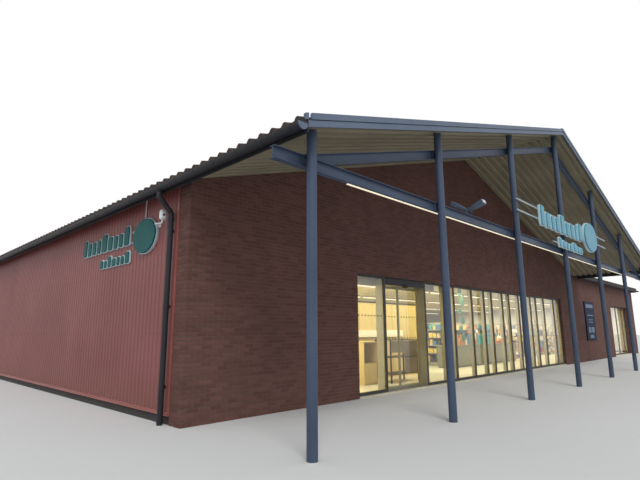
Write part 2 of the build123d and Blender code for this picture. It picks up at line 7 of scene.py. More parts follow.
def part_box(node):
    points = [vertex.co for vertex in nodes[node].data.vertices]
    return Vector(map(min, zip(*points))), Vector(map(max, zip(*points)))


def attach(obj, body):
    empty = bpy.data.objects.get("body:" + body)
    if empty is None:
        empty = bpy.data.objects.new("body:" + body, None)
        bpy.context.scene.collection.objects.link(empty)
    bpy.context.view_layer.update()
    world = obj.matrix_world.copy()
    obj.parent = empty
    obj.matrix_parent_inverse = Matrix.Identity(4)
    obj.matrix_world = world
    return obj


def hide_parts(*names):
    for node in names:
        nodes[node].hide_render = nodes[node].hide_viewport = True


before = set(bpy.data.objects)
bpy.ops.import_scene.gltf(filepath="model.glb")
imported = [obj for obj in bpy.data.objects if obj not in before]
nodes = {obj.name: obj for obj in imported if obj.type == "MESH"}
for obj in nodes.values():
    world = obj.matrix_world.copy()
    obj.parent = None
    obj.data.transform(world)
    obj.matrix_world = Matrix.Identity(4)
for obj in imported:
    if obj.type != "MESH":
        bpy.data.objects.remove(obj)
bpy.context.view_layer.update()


# Facing brick
# The front wall is laid in dark brown-red facing bricks, 220 by 63 mm, in half bond with
# 12 mm joints raked back 6 mm. The left corner turns back one wall's thickness in the same bond.
brick_pitch = 0.232
course = 0.075
joint = 0.012
brick_proud = 0.006
brick_arris = 0.003
brick_bed = 0.01
brick_least = 0.02
brick_top_gap = 0.03
front_low, front_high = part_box("front_wall_left")
wall_left_x, front_y, brick_back_y = front_low.x, front_low.y, front_high.y
wall_right_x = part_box("front_wall_right")[1].x
back_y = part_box("back_wall")[1].y
glazing_x = (front_high.x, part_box("front_wall_right")[0].x)
glazing_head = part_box("front_gable")[0].z
window_x = [corner.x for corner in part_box("window_frame")]
ridge_x = (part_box("verge_left")[1].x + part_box("verge_right")[0].x) / 2
ridge_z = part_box("front_gable")[1].z
eave_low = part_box("roof_left")[0]
roof_slope = (ridge_z - eave_low.z) / (ridge_x - eave_low.x)
wall_eave_z = eave_low.z + roof_slope * (wall_left_x - eave_low.x)


def linear(code):
    """A hex colour in linear light: every channel goes through the sRGB curve."""
    channels = [int(code[i:i + 2], 16) / 255 for i in (0, 2, 4)]
    return [c / 12.92 if c <= 0.04045 else ((c + 0.055) / 1.055) ** 2.4 for c in channels] + [1]


def add_node(tree, kind, sockets=None, **settings):
    """Add one shader node with its settings. A socket given another node's output is linked to it."""
    node = tree.nodes.new(kind)
    for name, value in settings.items():
        setattr(node, name, value)
    for name, value in (sockets or {}).items():
        if isinstance(value, bpy.types.NodeSocket):
            tree.links.new(value, node.inputs[name])
        else:
            node.inputs[name].default_value = value
    return node


def finish(name, dark, light, patch_mm, grain_mm, grain_depth_mm, **shader_sockets):
    """A finish that drifts between two colours in patches and has a fine grain in relief."""
    material = bpy.data.materials.new(name)
    material.use_nodes = True
    tree = material.node_tree
    shader = tree.nodes["Principled BSDF"]
    for socket, value in shader_sockets.items():
        shader.inputs[socket.replace("_", " ")].default_value = value
    place = add_node(tree, "ShaderNodeTexCoord").outputs["Object"]
    patches = add_node(tree, "ShaderNodeTexNoise", {"Vector": place, "Scale": 1000 / patch_mm, "Detail": 4})
    spread = add_node(tree, "ShaderNodeMapRange",
                      {"Value": patches.outputs["Fac"], "From Min": 0.3, "From Max": 0.7})
    colour = add_node(tree, "ShaderNodeMix", {0: spread.outputs[0], 6: linear(dark), 7: linear(light)},
                      data_type="RGBA")
    grain = add_node(tree, "ShaderNodeTexNoise", {"Vector": place, "Scale": 1000 / grain_mm, "Detail": 2})
    relief = add_node(tree, "ShaderNodeBump",
                      {"Height": grain.outputs["Fac"], "Distance": grain_depth_mm / 1000})
    tree.links.new(colour.outputs[2], shader.inputs["Base Color"])
    tree.links.new(relief.outputs[0], shader.inputs["Normal"])
    return material


def workshop(material):
    """What a further pattern joins: the tree, the shader's sockets, the place and the drifting colour."""
    tree = material.node_tree
    place = tree.nodes["Texture Coordinate"].outputs["Object"]
    return tree, tree.nodes["Principled BSDF"].inputs, place, tree.nodes["Mix"].outputs[2]


def paint_nodes(material, *names):
    """Give CAD nodes a finish in place of their plain one. A name may end in a star."""
    for name in nodes:
        if any(name == given or given.endswith("*") and name.startswith(given[:-1]) for given in names):
            nodes[name].data.materials.clear()
            nodes[name].data.materials.append(material)


def add_object(name, data):
    """An object of the scene that carries a mesh, a lamp or a camera."""
    made = bpy.data.objects.new(name, data)
    bpy.context.scene.collection.objects.link(made)
    return made


def add_piece(name, shape, material, body="building", smooth=False, outward=False, stands_for=None):
    """A mesh piece from (points, faces), with its finish, on a body. outward turns closed shells right."""
    points, faces = shape
    mesh = bpy.data.meshes.new(name)
    faces = faces.tolist() if isinstance(faces, np.ndarray) else faces
    mesh.from_pydata(np.reshape(points, (-1, 3)).tolist(), [], faces)
    if outward:
        shell = bmesh.new()
        shell.from_mesh(mesh)
        bmesh.ops.remove_doubles(shell, verts=shell.verts, dist=1e-5)
        bmesh.ops.recalc_face_normals(shell, faces=shell.faces)
        shell.to_mesh(mesh)
        shell.free()
    mesh.materials.append(material)
    mesh.polygons.foreach_set("use_smooth", np.full(len(mesh.polygons), smooth))
    made = add_object(name, mesh)
    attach(made, body)
    if stands_for:
        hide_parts(stands_for)
    return made


def boxes(x, y, z, inset=0.0, axis=1, side=-1):
    """Closed boxes from their ends on each axis, numbers or arrays. One face may be inset all round."""
    ends = np.stack(np.broadcast_arrays(*x, *y, *z), -1).reshape(-1, 3, 2).astype(float)
    pick = np.array([[0, 0, 0], [1, 0, 0], [1, 1, 0], [0, 1, 0], [0, 0, 1], [1, 0, 1], [1, 1, 1], [0, 1, 1]])
    points = ends[:, [0, 1, 2], pick]
    if inset:
        outer = pick[:, axis] == (side > 0)
        for other in {0, 1, 2} - {axis}:
            points[:, outer, other] += np.where(pick[outer, other] == 1, -inset, inset)
    quads = np.array([[0, 3, 2, 1], [4, 5, 6, 7], [0, 1, 5, 4], [1, 2, 6, 5], [2, 3, 7, 6], [3, 0, 4, 7]])
    faces = quads[None] + 8 * np.arange(len(points))[:, None, None]
    return points.reshape(-1, 3), faces.reshape(-1, 4)


# Fired clay with a sand-struck face: the colour shifts from brick to brick, and nothing shines
brick = finish("fired facing brick", "54372F", "6C473F", 900, 4, 0.6, Roughness=0.85, Specular_IOR_Level=0.3)
tree, shader, place, colour = workshop(brick)
axes = add_node(tree, "ShaderNodeSeparateXYZ", {0: place})
along = add_node(tree, "ShaderNodeMath", {0: axes.outputs[0], 1: axes.outputs[1]}, operation="ADD")
bond_place = add_node(tree, "ShaderNodeCombineXYZ", {0: along.outputs[0], 1: axes.outputs[2]})
bond = add_node(tree, "ShaderNodeTexBrick", {
    "Vector": bond_place.outputs[0], "Color1": linear("5A3B34"), "Color2": linear("74504A"),
    "Mortar": linear("6E625E"), "Scale": 1, "Mortar Size": joint / 2, "Mortar Smooth": 0.1, "Bias": -0.1,
    "Brick Width": brick_pitch, "Row Height": course}, offset=0.5)
fired = add_node(tree, "ShaderNodeMix", {0: 0.6, 6: colour, 7: bond.outputs["Color"]}, data_type="RGBA")
tree.links.new(fired.outputs[2], shader["Base Color"])


def brick_top(x):
    """Top of the brickwork: the gable's slope, and beside it the level under the eave."""
    return np.maximum(ridge_z - roof_slope * np.abs(x - ridge_x), wall_eave_z) - brick_top_gap


def bond_rows(start, end, shift):
    """Left and right ends and low and high edges of the bricks of a face, in half bond.

    A brick begins at a whole number of pitches of x + y, less half a pitch in even courses.
    """
    rows = np.arange(int(ridge_z / course) + 1)
    columns = np.floor((start + shift) / brick_pitch) - 1 + np.arange(int((end - start) / brick_pitch) + 4)
    row, column = [grid.ravel() for grid in np.meshgrid(rows, columns, indexing="ij")]
    begin = column * brick_pitch - np.where(row % 2 == 0, brick_pitch / 2, 0) - shift
    left = np.clip(begin + joint / 2, start, end)
    right = np.clip(begin + brick_pitch - joint / 2, start, end)
    return left, right, row * course + joint / 2, (row + 1) * course - joint / 2


def brick_face(name, start, end, hole):
    """The bricks of a stretch of the front face. hole gives the left, right and top of an opening."""
    left, right, low, high = bond_rows(start, end, front_y)
    beside = low < hole[2]
    left = np.where(beside & (left > hole[0]) & (left < hole[1]), hole[1], left)
    right = np.where(beside & (right > hole[0]) & (right < hole[1]), hole[0], right)
    top = np.minimum(brick_top(left), brick_top(right))
    keep = ~(beside & (left >= hole[0]) & (right <= hole[1]))
    keep &= (right - left > brick_least) & (low < top - brick_least)
    low = np.where(beside | (low > hole[2]), low, hole[2])
    points, faces = boxes((left[keep], right[keep]), (front_y - brick_proud, front_y + brick_bed),
                          (low[keep], high[keep]), brick_arris)
    points[:, 2] = np.minimum(points[:, 2], brick_top(points[:, 0]))
    add_piece(name, (points, faces), brick)


brick_face("bricks_left_of_shopfront", wall_left_x - brick_proud, glazing_x[0], (0, 0, 0))
brick_face("bricks_over_shopfront", *glazing_x, (glazing_x[0] - 1, glazing_x[1] + 1, glazing_head))
brick_face("bricks_right_of_shopfront", glazing_x[1], wall_right_x, (*window_x, glazing_head))

left, right, low, high = bond_rows(front_y, brick_back_y, wall_left_x)
keep = (right - left > brick_least) & (high < wall_eave_z)
add_piece("bricks_left_return", boxes(
    (wall_left_x - brick_proud, wall_left_x + brick_bed), (left[keep], right[keep]), (low[keep], high[keep]),
    brick_arris, axis=0), brick)
paint_nodes(brick, "front_wall_left", "front_gable", "front_wall_right")


# Ribbed cladding
# The side and back walls are clad in coated steel sheets with trapezoid ribs 157 mm apart,
# fixed upright with colour-matched screws, in an oxide red satin coat.
rib_pitch = 0.157
rib_depth = 0.011
rib_line = np.array([(0.0, 0), (0.45, 0), (0.56, 1), (0.89, 1)]) * (rib_pitch, rib_depth)
valley_middle = 0.225 * rib_pitch
sheet_gap = 0.003
sheet_low = 0.19
sheet_high = wall_eave_z - 0.06
screw_half = 0.009
screw_high = 0.007
screw_levels = (0.26, 1.55, 2.85, sheet_high - 0.09)

# Coil-coated sheet: an even satin film, a little chalked, that dips slightly between its fixings. It turns
# paler and greyer towards the bottom
cladding = finish("oxide red coated steel sheet", "743A38", "814745", 1400, 260, 0.5, Roughness=0.48)
tree, shader, place, colour = workshop(cladding)
axes = add_node(tree, "ShaderNodeSeparateXYZ", {0: place})
# The colour turns paler and greyer from 0.9 m down to 0.15 m
low_fade = add_node(tree, "ShaderNodeMapRange", {"Value": axes.outputs[2], "From Min": 0.15, "From Max": 0.9})
paler_low = add_node(tree, "ShaderNodeMix", {0: low_fade.outputs[0], 6: linear("7A4640"), 7: colour},
                 data_type="RGBA")
tree.links.new(paler_low.outputs[2], shader["Base Color"])

# The concrete plinth and the inner lining share a node with the wall and are told apart by height
plinth_high = 0.16
wall_core = finish("dark coated plinth and pale lining", "33302F", "3F3B3A", 600, 10, 0.5, Roughness=0.85)
tree, shader, place, colour = workshop(wall_core)
axes = add_node(tree, "ShaderNodeSeparateXYZ", {0: place})
above = add_node(tree, "ShaderNodeMath", {0: axes.outputs[2], 1: plinth_high}, operation="GREATER_THAN")
lined = add_node(tree, "ShaderNodeMix", {0: above.outputs[0], 6: colour, 7: linear("B9B5AC")},
                 data_type="RGBA")
tree.links.new(lined.outputs[2], shader["Base Color"])
paint_nodes(wall_core, "side_wall_left", "side_wall_right", "back_wall")


def grid_faces(rows, columns, round_rows=False):
    """Quads of a grid of points stored row by row. round_rows joins the last column to the first."""
    row, column = [grid.ravel() for grid in np.meshgrid(
        np.arange(rows - 1), np.arange(columns if round_rows else columns - 1), indexing="ij")]
    after = (column + 1) % columns
    return np.stack([row * columns + column, row * columns + after,
                     (row + 1) * columns + after, (row + 1) * columns + column], 1)


def ribbed_wall(name, start, end, out):
    """A trapezoid rib profile repeated along a wall from start to end and carried up to the eave.

    out points away from the room. Screws are small tapered boxes in the valleys at four levels.
    """
    start, end, out = np.array(start), np.array(end), np.array(out)
    length = np.linalg.norm(end - start)
    along = (end - start) / length
    ribs = np.arange(int(length / rib_pitch))
    first = (length - len(ribs) * rib_pitch) / 2
    run = (ribs[:, None] * rib_pitch + rib_line[None, :, 0] + first).ravel()
    proud = np.tile(rib_line[:, 1], len(ribs)) + sheet_gap
    run = np.concatenate([[0, 0], run, [length, length], run[::-1]])
    proud = np.concatenate([[0, sheet_gap], proud, [sheet_gap, 0], proud[::-1] - sheet_gap])
    plan = start + run[:, None] * along + proud[:, None] * out
    points = np.concatenate([np.column_stack([plan, np.full(len(plan), z)]) for z in (sheet_low, sheet_high)])
    faces = grid_faces(2, len(plan), round_rows=True)
    if along[0] * out[1] - along[1] * out[0] > 0:
        faces = faces[:, ::-1]
    add_piece(name, (points, faces), cladding)

    at, level = [grid.ravel() for grid in np.meshgrid(ribs, screw_levels)]
    middle = first + valley_middle + at * rib_pitch
    centre = np.column_stack([start + middle[:, None] * along + sheet_gap * out, level])
    reach = np.array([*(np.abs(along) * screw_half), screw_half])
    high = centre + reach + [*(np.maximum(out, 0) * screw_high), 0]
    low = centre - reach + [*(np.minimum(out, 0) * screw_high), 0]
    axis = int(abs(out[1]) > 0.5)
    screws = boxes(*zip(low.T, high.T), screw_half / 3, axis, out[axis])
    add_piece(f"{name}_screws", screws, cladding)


ribbed_wall("sheets_left_wall", (wall_left_x, brick_back_y), (wall_left_x, back_y), (-1.0, 0.0))
ribbed_wall("sheets_right_wall", (wall_right_x, brick_back_y), (wall_right_x, back_y), (1.0, 0.0))
ribbed_wall("sheets_back_wall", (wall_left_x, back_y), (wall_right_x, back_y), (0.0, 1.0))


# Wall trims
# Folded from the same coated sheet: a drip edge under the sheets, a cover under the eaves
# and a corner piece at each end of the clad walls. They run round three sides in one go.
proud = rib_depth + 2 * sheet_gap
drip = [(0, 0.215), (-proud, 0.2), (-proud, 0.165), (-proud - 0.012, 0.155), (-proud - 0.012, 0.152),
        (0, 0.152)]
cover_low, cover_high = sheet_high - 0.04, wall_eave_z - 0.015
eave_cover = [(0, cover_low), (-proud, cover_low), (-proud, cover_high), (0, cover_high)]
corner_wide = 0.12
# The sheets' own coat, painted lighter than on the sheets as a painted highlight on the narrow folded faces
lit_trim_coat = finish("oxide red folded trim", "8A4A43", "985850", 700, 60, 0.1, Roughness=0.42)


def shell_faces(rings, count):
    """Faces of a tube of rings of points, with an end face on its first and on its last ring."""
    ends = [list(range(count)), list(range((rings - 1) * count, rings * count))]
    return grid_faces(rings, count, round_rows=True).tolist() + ends


def carried(path, section):
    """A closed section carried along a level path in plan, mitred at its corners.

    A section point (out, z) moves to the right of the way the path runs. Both ends are closed.
    """
    path, section = np.array(path, float), np.array(section, float)
    step = np.diff(path, axis=0)
    step /= np.linalg.norm(step, axis=1)[:, None]
    side = np.stack([step[:, 1], -step[:, 0]], 1)
    mitre = np.concatenate([side[:1], side]) + np.concatenate([side, side[-1:]])
    mitre *= 2 / (mitre ** 2).sum(1)[:, None]
    plan = path[:, None] + section[None, :, :1] * mitre[:, None]
    level = np.broadcast_to(section[None, :, 1:], (len(path), len(section), 1))
    return np.concatenate([plan, level], 2), shell_faces(len(path), len(section))


clad_path = [(wall_left_x, brick_back_y), (wall_left_x, back_y), (wall_right_x, back_y),
             (wall_right_x, brick_back_y)]
for name, section in (("drip_edge", drip), ("eave_trim", eave_cover)):
    add_piece(name, carried(clad_path, section), lit_trim_coat, outward=True)
x0, x1, y0, y1 = np.transpose([
    (wall_left_x - proud, wall_left_x, brick_back_y, brick_back_y + corner_wide / 2),
    (wall_left_x - proud, wall_left_x, back_y - corner_wide, back_y + proud),
    (wall_left_x, wall_left_x + corner_wide, back_y, back_y + proud),
    (wall_right_x, wall_right_x + proud, back_y - corner_wide, back_y + proud),
    (wall_right_x - corner_wide, wall_right_x, back_y, back_y + proud),
    (wall_right_x, wall_right_x + proud, front_y - brick_proud, brick_back_y + corner_wide / 2)])
add_piece("corner_trims", boxes((x0, x1), (y0, y1), (sheet_low + 0.01, sheet_high)), lit_trim_coat)


# Roof tiles
# Dark clay canal tiles lie in courses on every roof side, rounded cover tiles over hollow
# ones, 260 mm apart. Each course laps the one below it, and the lowest one runs over the gutter.
tile_pitch = 0.26
tile_course = 0.35
tile_crown = 0.09
tile_step = 0.016
tile_least = 0.003
tile_overhang = 0.06
tile_wave = np.array([0, 0, 0.35, 0.85, 1, 0.85, 0.35, 0])
eave_x = (eave_low.x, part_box("roof_right")[1].x)
eave_y = (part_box("roof_front_right")[0].y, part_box("roof_back")[1].y)
eave_z = eave_low.z
porch_y = eave_low.y
gable_eave_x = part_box("roof_gable_right")[1].x
eave_run = (eave_y[1] - eave_y[0]) / 2

# Fired clay, painted very dark: partly its own dark colour, partly painted shade on tiles seen from below in
# shadow. Each cover tile has its own tone
tile = finish("dark clay roof tile with painted shade", "2A2423", "463B37", 350, 8, 0.8, Roughness=0.82,
              Specular_IOR_Level=0.3)
tree, shader, place, colour = workshop(tile)
cell = add_node(tree, "ShaderNodeVectorMath", {0: place, 1: (tile_pitch, tile_pitch, 0.1)}, operation="SNAP")
tone = add_node(tree, "ShaderNodeTexWhiteNoise", {"Vector": cell.outputs[0]}, noise_dimensions="3D")
fade = add_node(tree, "ShaderNodeMath", {0: tone.outputs["Value"], 1: 0.45}, operation="MULTIPLY")
batch = add_node(tree, "ShaderNodeMix", {0: fade.outputs[0], 6: colour, 7: linear("54453F")},
                 data_type="RGBA")
tree.links.new(batch.outputs[2], shader["Base Color"])


def tiled_side(side, corner, along, low_end, high_end, phase=0.0):
    """Canal tiles on one roof side: a wave along the eave and a saw tooth up the slope.

    low_end and high_end give the side's two edges for a run up the slope. Points past an edge
    are drawn back onto it at half a crown, so that the outer tiles are cut along hips and
    valleys. A rim all round and a flat underside, in the plane of the roof panel's, close the shell.
    """
    corner, along = np.array(corner), np.array(along)
    uphill = np.array([-along[1], along[0]])
    courses = int(np.ceil((eave_run + tile_overhang) / tile_course))
    run = np.clip(-tile_overhang + np.arange(courses + 1) * tile_course, None, eave_run)
    rows = np.repeat(run, 2)
    step = np.tile([0, tile_step], courses + 1)
    edges = np.array([[low_end(r), high_end(r)] for r in rows])
    waves = np.arange(int(edges.min() / tile_pitch) - 2, int(edges.max() / tile_pitch) + 2)
    columns = (waves[:, None] + np.arange(8)[None] / 8).ravel() * tile_pitch + phase
    inside = (columns > edges[:, :1]) & (columns < edges[:, 1:])
    height = np.tile(tile_wave, len(waves)) * tile_crown
    lift = tile_least + np.where(inside, height + step[:, None], tile_crown / 2)
    lift = np.pad(lift, ((0, 0), (1, 1)))
    lift[[0, -1]] = 0
    span = np.column_stack([edges[:, 0], np.clip(columns, edges[:, :1], edges[:, 1:]), edges[:, 1]])
    plan = corner + span[..., None] * along + rows[:, None, None] * uphill
    level = eave_z + roof_slope * rows[:, None] + lift
    points = np.concatenate([plan, level[..., None]], 2).reshape(-1, 3)
    faces = grid_faces(*lift.shape)
    area = np.cross(points[faces[:, 2]] - points[faces[:, 0]], points[faces[:, 3]] - points[faces[:, 1]])
    index = np.arange(lift.size).reshape(lift.shape)
    underside = [*index[0], *index[1:, -1], *index[-1, -2::-1], *index[-2:0:-1, 0]]
    faces = faces[np.linalg.norm(area, axis=1) > 1e-6].tolist() + [[int(i) for i in underside]]
    add_piece(f"tiles_{side}", (points, faces), tile, outward=True, stands_for=f"roof_{side}")


left_eave = eave_y[1] - porch_y
right_eave = eave_x[1] - gable_eave_x
tiled_side("left", (eave_x[0], eave_y[1]), (0, -1), lambda r: r, lambda r: left_eave, left_eave % tile_pitch)
tiled_side("gable_right", (gable_eave_x, porch_y), (0, 1), lambda r: 0, lambda r: eave_y[0] - porch_y + r)
tiled_side("front_right", (gable_eave_x, eave_y[0]), (1, 0), lambda r: -r, lambda r: right_eave - r)
tiled_side("right", (eave_x[1], eave_y[0]), (0, 1), lambda r: r, lambda r: 2 * eave_run - r)
tiled_side("back", (eave_x[1], eave_y[1]), (-1, 0), lambda r: r, lambda r: eave_x[1] - eave_x[0] - r)


# Ridge and hip tiles
# Half-round clay tiles bedded over the ridges and hips, each 380 mm long and lapping the
# next: the wide end of a tile covers the narrow end of the one below it.
cap_length = 0.38
cap_wide = 0.125
cap_narrow = 0.105
cap_arch = np.radians(np.linspace(-25, 205, 13))
ridge_y = (eave_y[0] + eave_y[1]) / 2
ridge_end_x = eave_x[1] - eave_run
hip_stop = 0.15


def cap_run(start, end):
    """An arch of points at each station of a line, whose radius is a saw tooth along the line."""
    start, end = np.array(start, float), np.array(end, float)
    length = np.linalg.norm(end - start)
    along = (end - start) / length
    side = np.cross(along, (0, 0, 1))
    side /= np.linalg.norm(side)
    up = np.cross(side, along)
    count = int(length / cap_length)
    stations = np.repeat(np.arange(count + 1), 2)[1:-1] * length / count
    radius = np.tile([cap_wide, cap_narrow], count)
    ring = np.cos(cap_arch)[:, None] * side + np.sin(cap_arch)[:, None] * up
    points = start + stations[:, None, None] * along + radius[:, None, None] * ring[None]
    arch = len(cap_arch)
    last = (len(stations) - 1) * arch
    ends = [list(range(arch))[::-1], list(range(last, last + arch))]
    return points, grid_faces(len(stations), arch).tolist() + ends


def joined(parts):
    """Several (points, faces) meshes as one."""
    points, faces, start = [], [], 0
    for part_points, part_faces in parts:
        points.append(np.reshape(part_points, (-1, 3)))
        faces += [[int(index) + start for index in face] for face in part_faces]
        start += len(points[-1])
    return np.concatenate(points), faces


ridge_top = (ridge_x, ridge_y, ridge_z)
ridge_far = (ridge_end_x, ridge_y, ridge_z)
foot_run = eave_run - hip_stop
foot_z = ridge_z - roof_slope * foot_run
add_piece("ridge_and_hip_tiles", joined([cap_run(start, end) for start, end in (
    ((ridge_x, porch_y - 0.02, ridge_z), ridge_top),
    (ridge_top, ridge_far),
    ((ridge_x - foot_run, ridge_y + foot_run, foot_z), ridge_top),
    ((ridge_end_x + foot_run, ridge_y + foot_run, foot_z), ridge_far),
    ((ridge_end_x + foot_run, ridge_y - foot_run, foot_z), ridge_far))]), tile,
    stands_for="ridge_caps")


# Verge flashings
# Folded blue-grey coated sheets in two tiers along the gable, butted every three metres over a
# cover strap, with a plate over the joint at the ridge and a folded cap on each low end.
# Satin coil coat: a dull blue-grey with a soft highlight along each fold
verge_coat = finish("blue grey coated flashing", "566274", "616E80", 1100, 90, 0.15, Roughness=0.5,
                    Specular_IOR_Level=0.25)
paint_nodes(verge_coat, "verge_left", "verge_right")
verge_face_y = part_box("verge_left")[0].y
verge_top_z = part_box("verge_left")[1].z
verge_low_x = (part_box("verge_left")[0].x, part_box("verge_right")[1].x)
upper_tier = (0.0, 0.093)
lower_tier = (0.103, 0.195)
tier_set_back = 0.012
strap_every = 3.0
strap_half = 0.025
strap_proud = 0.0025
plate_reach = 0.16
plate_half = 0.006
end_cap_long = 0.055
end_cap_deep = 0.05


def around(middle, half):
    """The two ends of a stretch with a given middle and half length."""
    return middle - half, middle + half


def down_slope(points, faces):
    """A mesh made level with the ridge, let down by the roof's slope for its distance from the ridge."""
    points[:, 2] -= roof_slope * np.abs(points[:, 0] - ridge_x)
    return points, faces


def plate(outline, ends, axis=1):
    """A closed plate or bar: an outline in two axes, carried between two ends along the third."""
    points = np.concatenate([np.insert(outline, axis, end, 1) for end in ends])
    return points, shell_faces(2, len(outline))


offsets = np.arange(strap_every, ridge_x - verge_low_x[0], strap_every)
middles = np.concatenate([ridge_x - offsets, ridge_x + offsets])
add_piece("verge_straps", down_slope(*joined([
    boxes(around(middles, strap_half), (verge_face_y + back - strap_proud, verge_face_y + back + 0.004),
          (verge_top_z - bottom - 0.002, verge_top_z - top + 0.001))
    for back, (top, bottom) in ((0, upper_tier), (tier_set_back, lower_tier))])), verge_coat)

peak = np.array([(ridge_x + across, verge_top_z) for across in (-plate_reach, 0, plate_reach)])
peak = np.concatenate([peak, peak[::-1] - (0, upper_tier[1])])
ridge_plate = down_slope(*plate(peak, around(verge_face_y, plate_half)))
add_piece("verge_ridge_plate", ridge_plate, verge_coat, outward=True)
cap_x = np.array([(verge_low_x[0] - end_cap_long, verge_low_x[0]),
                  (verge_low_x[1], verge_low_x[1] + end_cap_long)])
add_piece("verge_end_caps", down_slope(*boxes(cap_x.T, (verge_face_y, verge_face_y + end_cap_deep), (
    verge_top_z - upper_tier[1], verge_top_z))), verge_coat)


# Gutters and downpipes
# Half-round coated steel gutters hang in strap brackets every 600 mm from the fascia boards.
# The downpipes have socket collars under the swan neck, half way down and at the foot.
# Satin coil coat, so dark that little but the rim catches the light
gutter_coat = finish("dark coated gutter steel", "222327", "2B2C31", 800, 90, 0.1, Roughness=0.5,
                     Specular_IOR_Level=0.25)
paint_nodes(gutter_coat, "gutter*", "downpipe*")
gutter_radius = 0.08
gutter_axis = 0.098
gutter_rim_z = eave_z - 0.075
bracket_every = 0.6
bracket_half = 0.014
bracket_thick = 0.004
bracket_arc = np.radians(np.linspace(180, 360, 9))
end_radius = gutter_radius + 0.003
end_turn = np.radians(np.linspace(180, 360, 17))
collar_profile = np.array([(0.0505, 0.0), (0.057, 0.004), (0.057, 0.05), (0.0505, 0.056)])
collar_turn = np.radians(np.arange(0, 360, 20))
collar_levels = (0.04, 2.0, 3.62)
pipe_from_wall_side = 0.09


def bracket_row(corner, along, first, last):
    """Straps round a half-round gutter: an arc band swept across its width, at equal steps along a run."""
    corner, along = np.array(corner), np.array(along)
    outward = np.array([along[1], -along[0]])
    at = np.arange(first, last, bracket_every)
    radii = gutter_radius + np.array([bracket_thick, bracket_thick, 0.0005, 0.0005])
    across = np.array([-1, 1, 1, -1]) * bracket_half
    out = gutter_axis + np.cos(bracket_arc)[:, None] * radii
    level = gutter_rim_z + np.sin(bracket_arc)[:, None] * radii
    plan = corner + out[None, ..., None] * outward + (at[:, None, None] + across)[..., None] * along
    level = np.broadcast_to(level[None], plan.shape[:3])
    points = np.concatenate([plan, level[..., None]], 3)
    return joined([(strap, shell_faces(len(bracket_arc), 4)) for strap in points])


add_piece("gutter_brackets", joined([bracket_row(*run) for run in (
    ((eave_x[0], eave_y[1]), (0, -1), 0.3, left_eave),
    ((eave_x[1], eave_y[1]), (-1, 0), 0.3, eave_x[1] - eave_x[0] - 0.2),
    ((eave_x[1], eave_y[0]), (0, 1), 0.3, 2 * eave_run - 0.2),
    ((gable_eave_x, eave_y[0]), (1, 0), 0.5, right_eave - 0.2),
    ((gable_eave_x, porch_y), (0, 1), 0.3, eave_y[0] - porch_y - 0.3))]), gutter_coat, outward=True)

# The gutters' stop ends take the paler blue-grey verge coat as painted light, for the sky light that falls on
# them
arc = np.column_stack([np.cos(end_turn), np.sin(end_turn)]) * end_radius
end_outline = np.concatenate([arc, [(end_radius, 0.012), (-end_radius, 0.012)]])
gutter_end_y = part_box("gutter_left")[0].y
for name, x in (("gutter_end_left", eave_x[0] - gutter_axis),
                ("gutter_end_right", gable_eave_x + gutter_axis)):
    end_plate = plate(end_outline + (x, gutter_rim_z), (gutter_end_y - 0.004, gutter_end_y + 0.012))
    add_piece(name, end_plate, verge_coat, outward=True)

parts = []
for low, high in [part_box(name) for name in nodes if name.startswith("downpipe")]:
    axis_x = high.x - pipe_from_wall_side if low.x < ridge_x else low.x + pipe_from_wall_side
    for z in collar_levels:
        ring = np.stack([
            axis_x + np.cos(collar_turn)[None] * collar_profile[:, :1],
            (low.y + high.y) / 2 + np.sin(collar_turn)[None] * collar_profile[:, :1],
            np.broadcast_to(z + collar_profile[:, 1:], (4, len(collar_turn)))], 2)
        parts.append((ring, grid_faces(4, len(collar_turn), round_rows=True)[:, ::-1]))
add_piece("downpipe_collars", joined(parts), gutter_coat)


# Porch steel
# Seven round tubes carry a tie beam and two rake beams, all I-sections in blue-grey satin
# paint. Welded plates stiffen the beams where they meet the tubes. The deck over them is coated.
# Brushed-on satin paint: an even slate blue with one dull highlight down each tube
steel_paint = finish("blue grey satin steel paint", "3C475B", "465368", 900, 25, 0.08, Roughness=0.45,
                     Specular_IOR_Level=0.25)
paint_nodes(steel_paint, "post_*", "tie_beam*", "rake_beam*")
# Coil-coated sheet seen from below: warm, flat and hardly shiny
deck_coat = finish("stone grey coated steel deck", "7F7763", "8C836E", 1200, 200, 0.2, Roughness=0.5,
                   Specular_IOR_Level=0.25)
paint_nodes(deck_coat, "porch_deck_left", "porch_deck_right")
tie_low, tie_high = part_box("tie_beam")
beam_flange = 0.01
beam_inset = 0.004
stiffener_half = 0.006
rake_depth = 0.18
post_axes = [(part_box(f"post_{n}")[0].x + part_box(f"post_{n}")[1].x) / 2 for n in range(1, 8)]
plate_x = np.add.outer(post_axes, (-0.07, 0.07)).ravel()
plate_y = (tie_low.y + beam_inset, tie_high.y - beam_inset)
add_piece("tie_stiffeners", boxes(around(plate_x, stiffener_half), plate_y, (
    tie_low.z + beam_flange, tie_high.z - beam_flange)), steel_paint)
rake_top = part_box("rake_beam_left")[1].z - beam_flange
add_piece("rake_stiffeners", down_slope(*boxes(around(plate_x[2:-2], stiffener_half), plate_y, (
    rake_top - rake_depth + 2 * beam_flange, rake_top))), steel_paint)


# Light strip
# Linear lamps end to end under the tie beam: a painted steel tray with a slim milky lens that
# bulges below it, in lengths of about a metre and a half.
strip_low, strip_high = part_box("light_strip")
lamp_length = 1.5
lamp_gap = 0.03
lens_half = 0.017
tray_deep = 0.012
lens_deep = strip_high.z - strip_low.z - tray_deep
lamp_count = int((strip_high.x - strip_low.x) / lamp_length)
starts = np.linspace(strip_low.x, strip_high.x, lamp_count + 1)
lamp_ends = (starts[:-1] + lamp_gap / 2, starts[1:] - lamp_gap / 2)
bulge = np.radians(np.linspace(180, 360, 9))


def glowing(material):
    """Let a lamp's cover shine in its own colour."""
    tree, shader, place, colour = workshop(material)
    tree.links.new(colour, shader["Emission Color"])
    return material


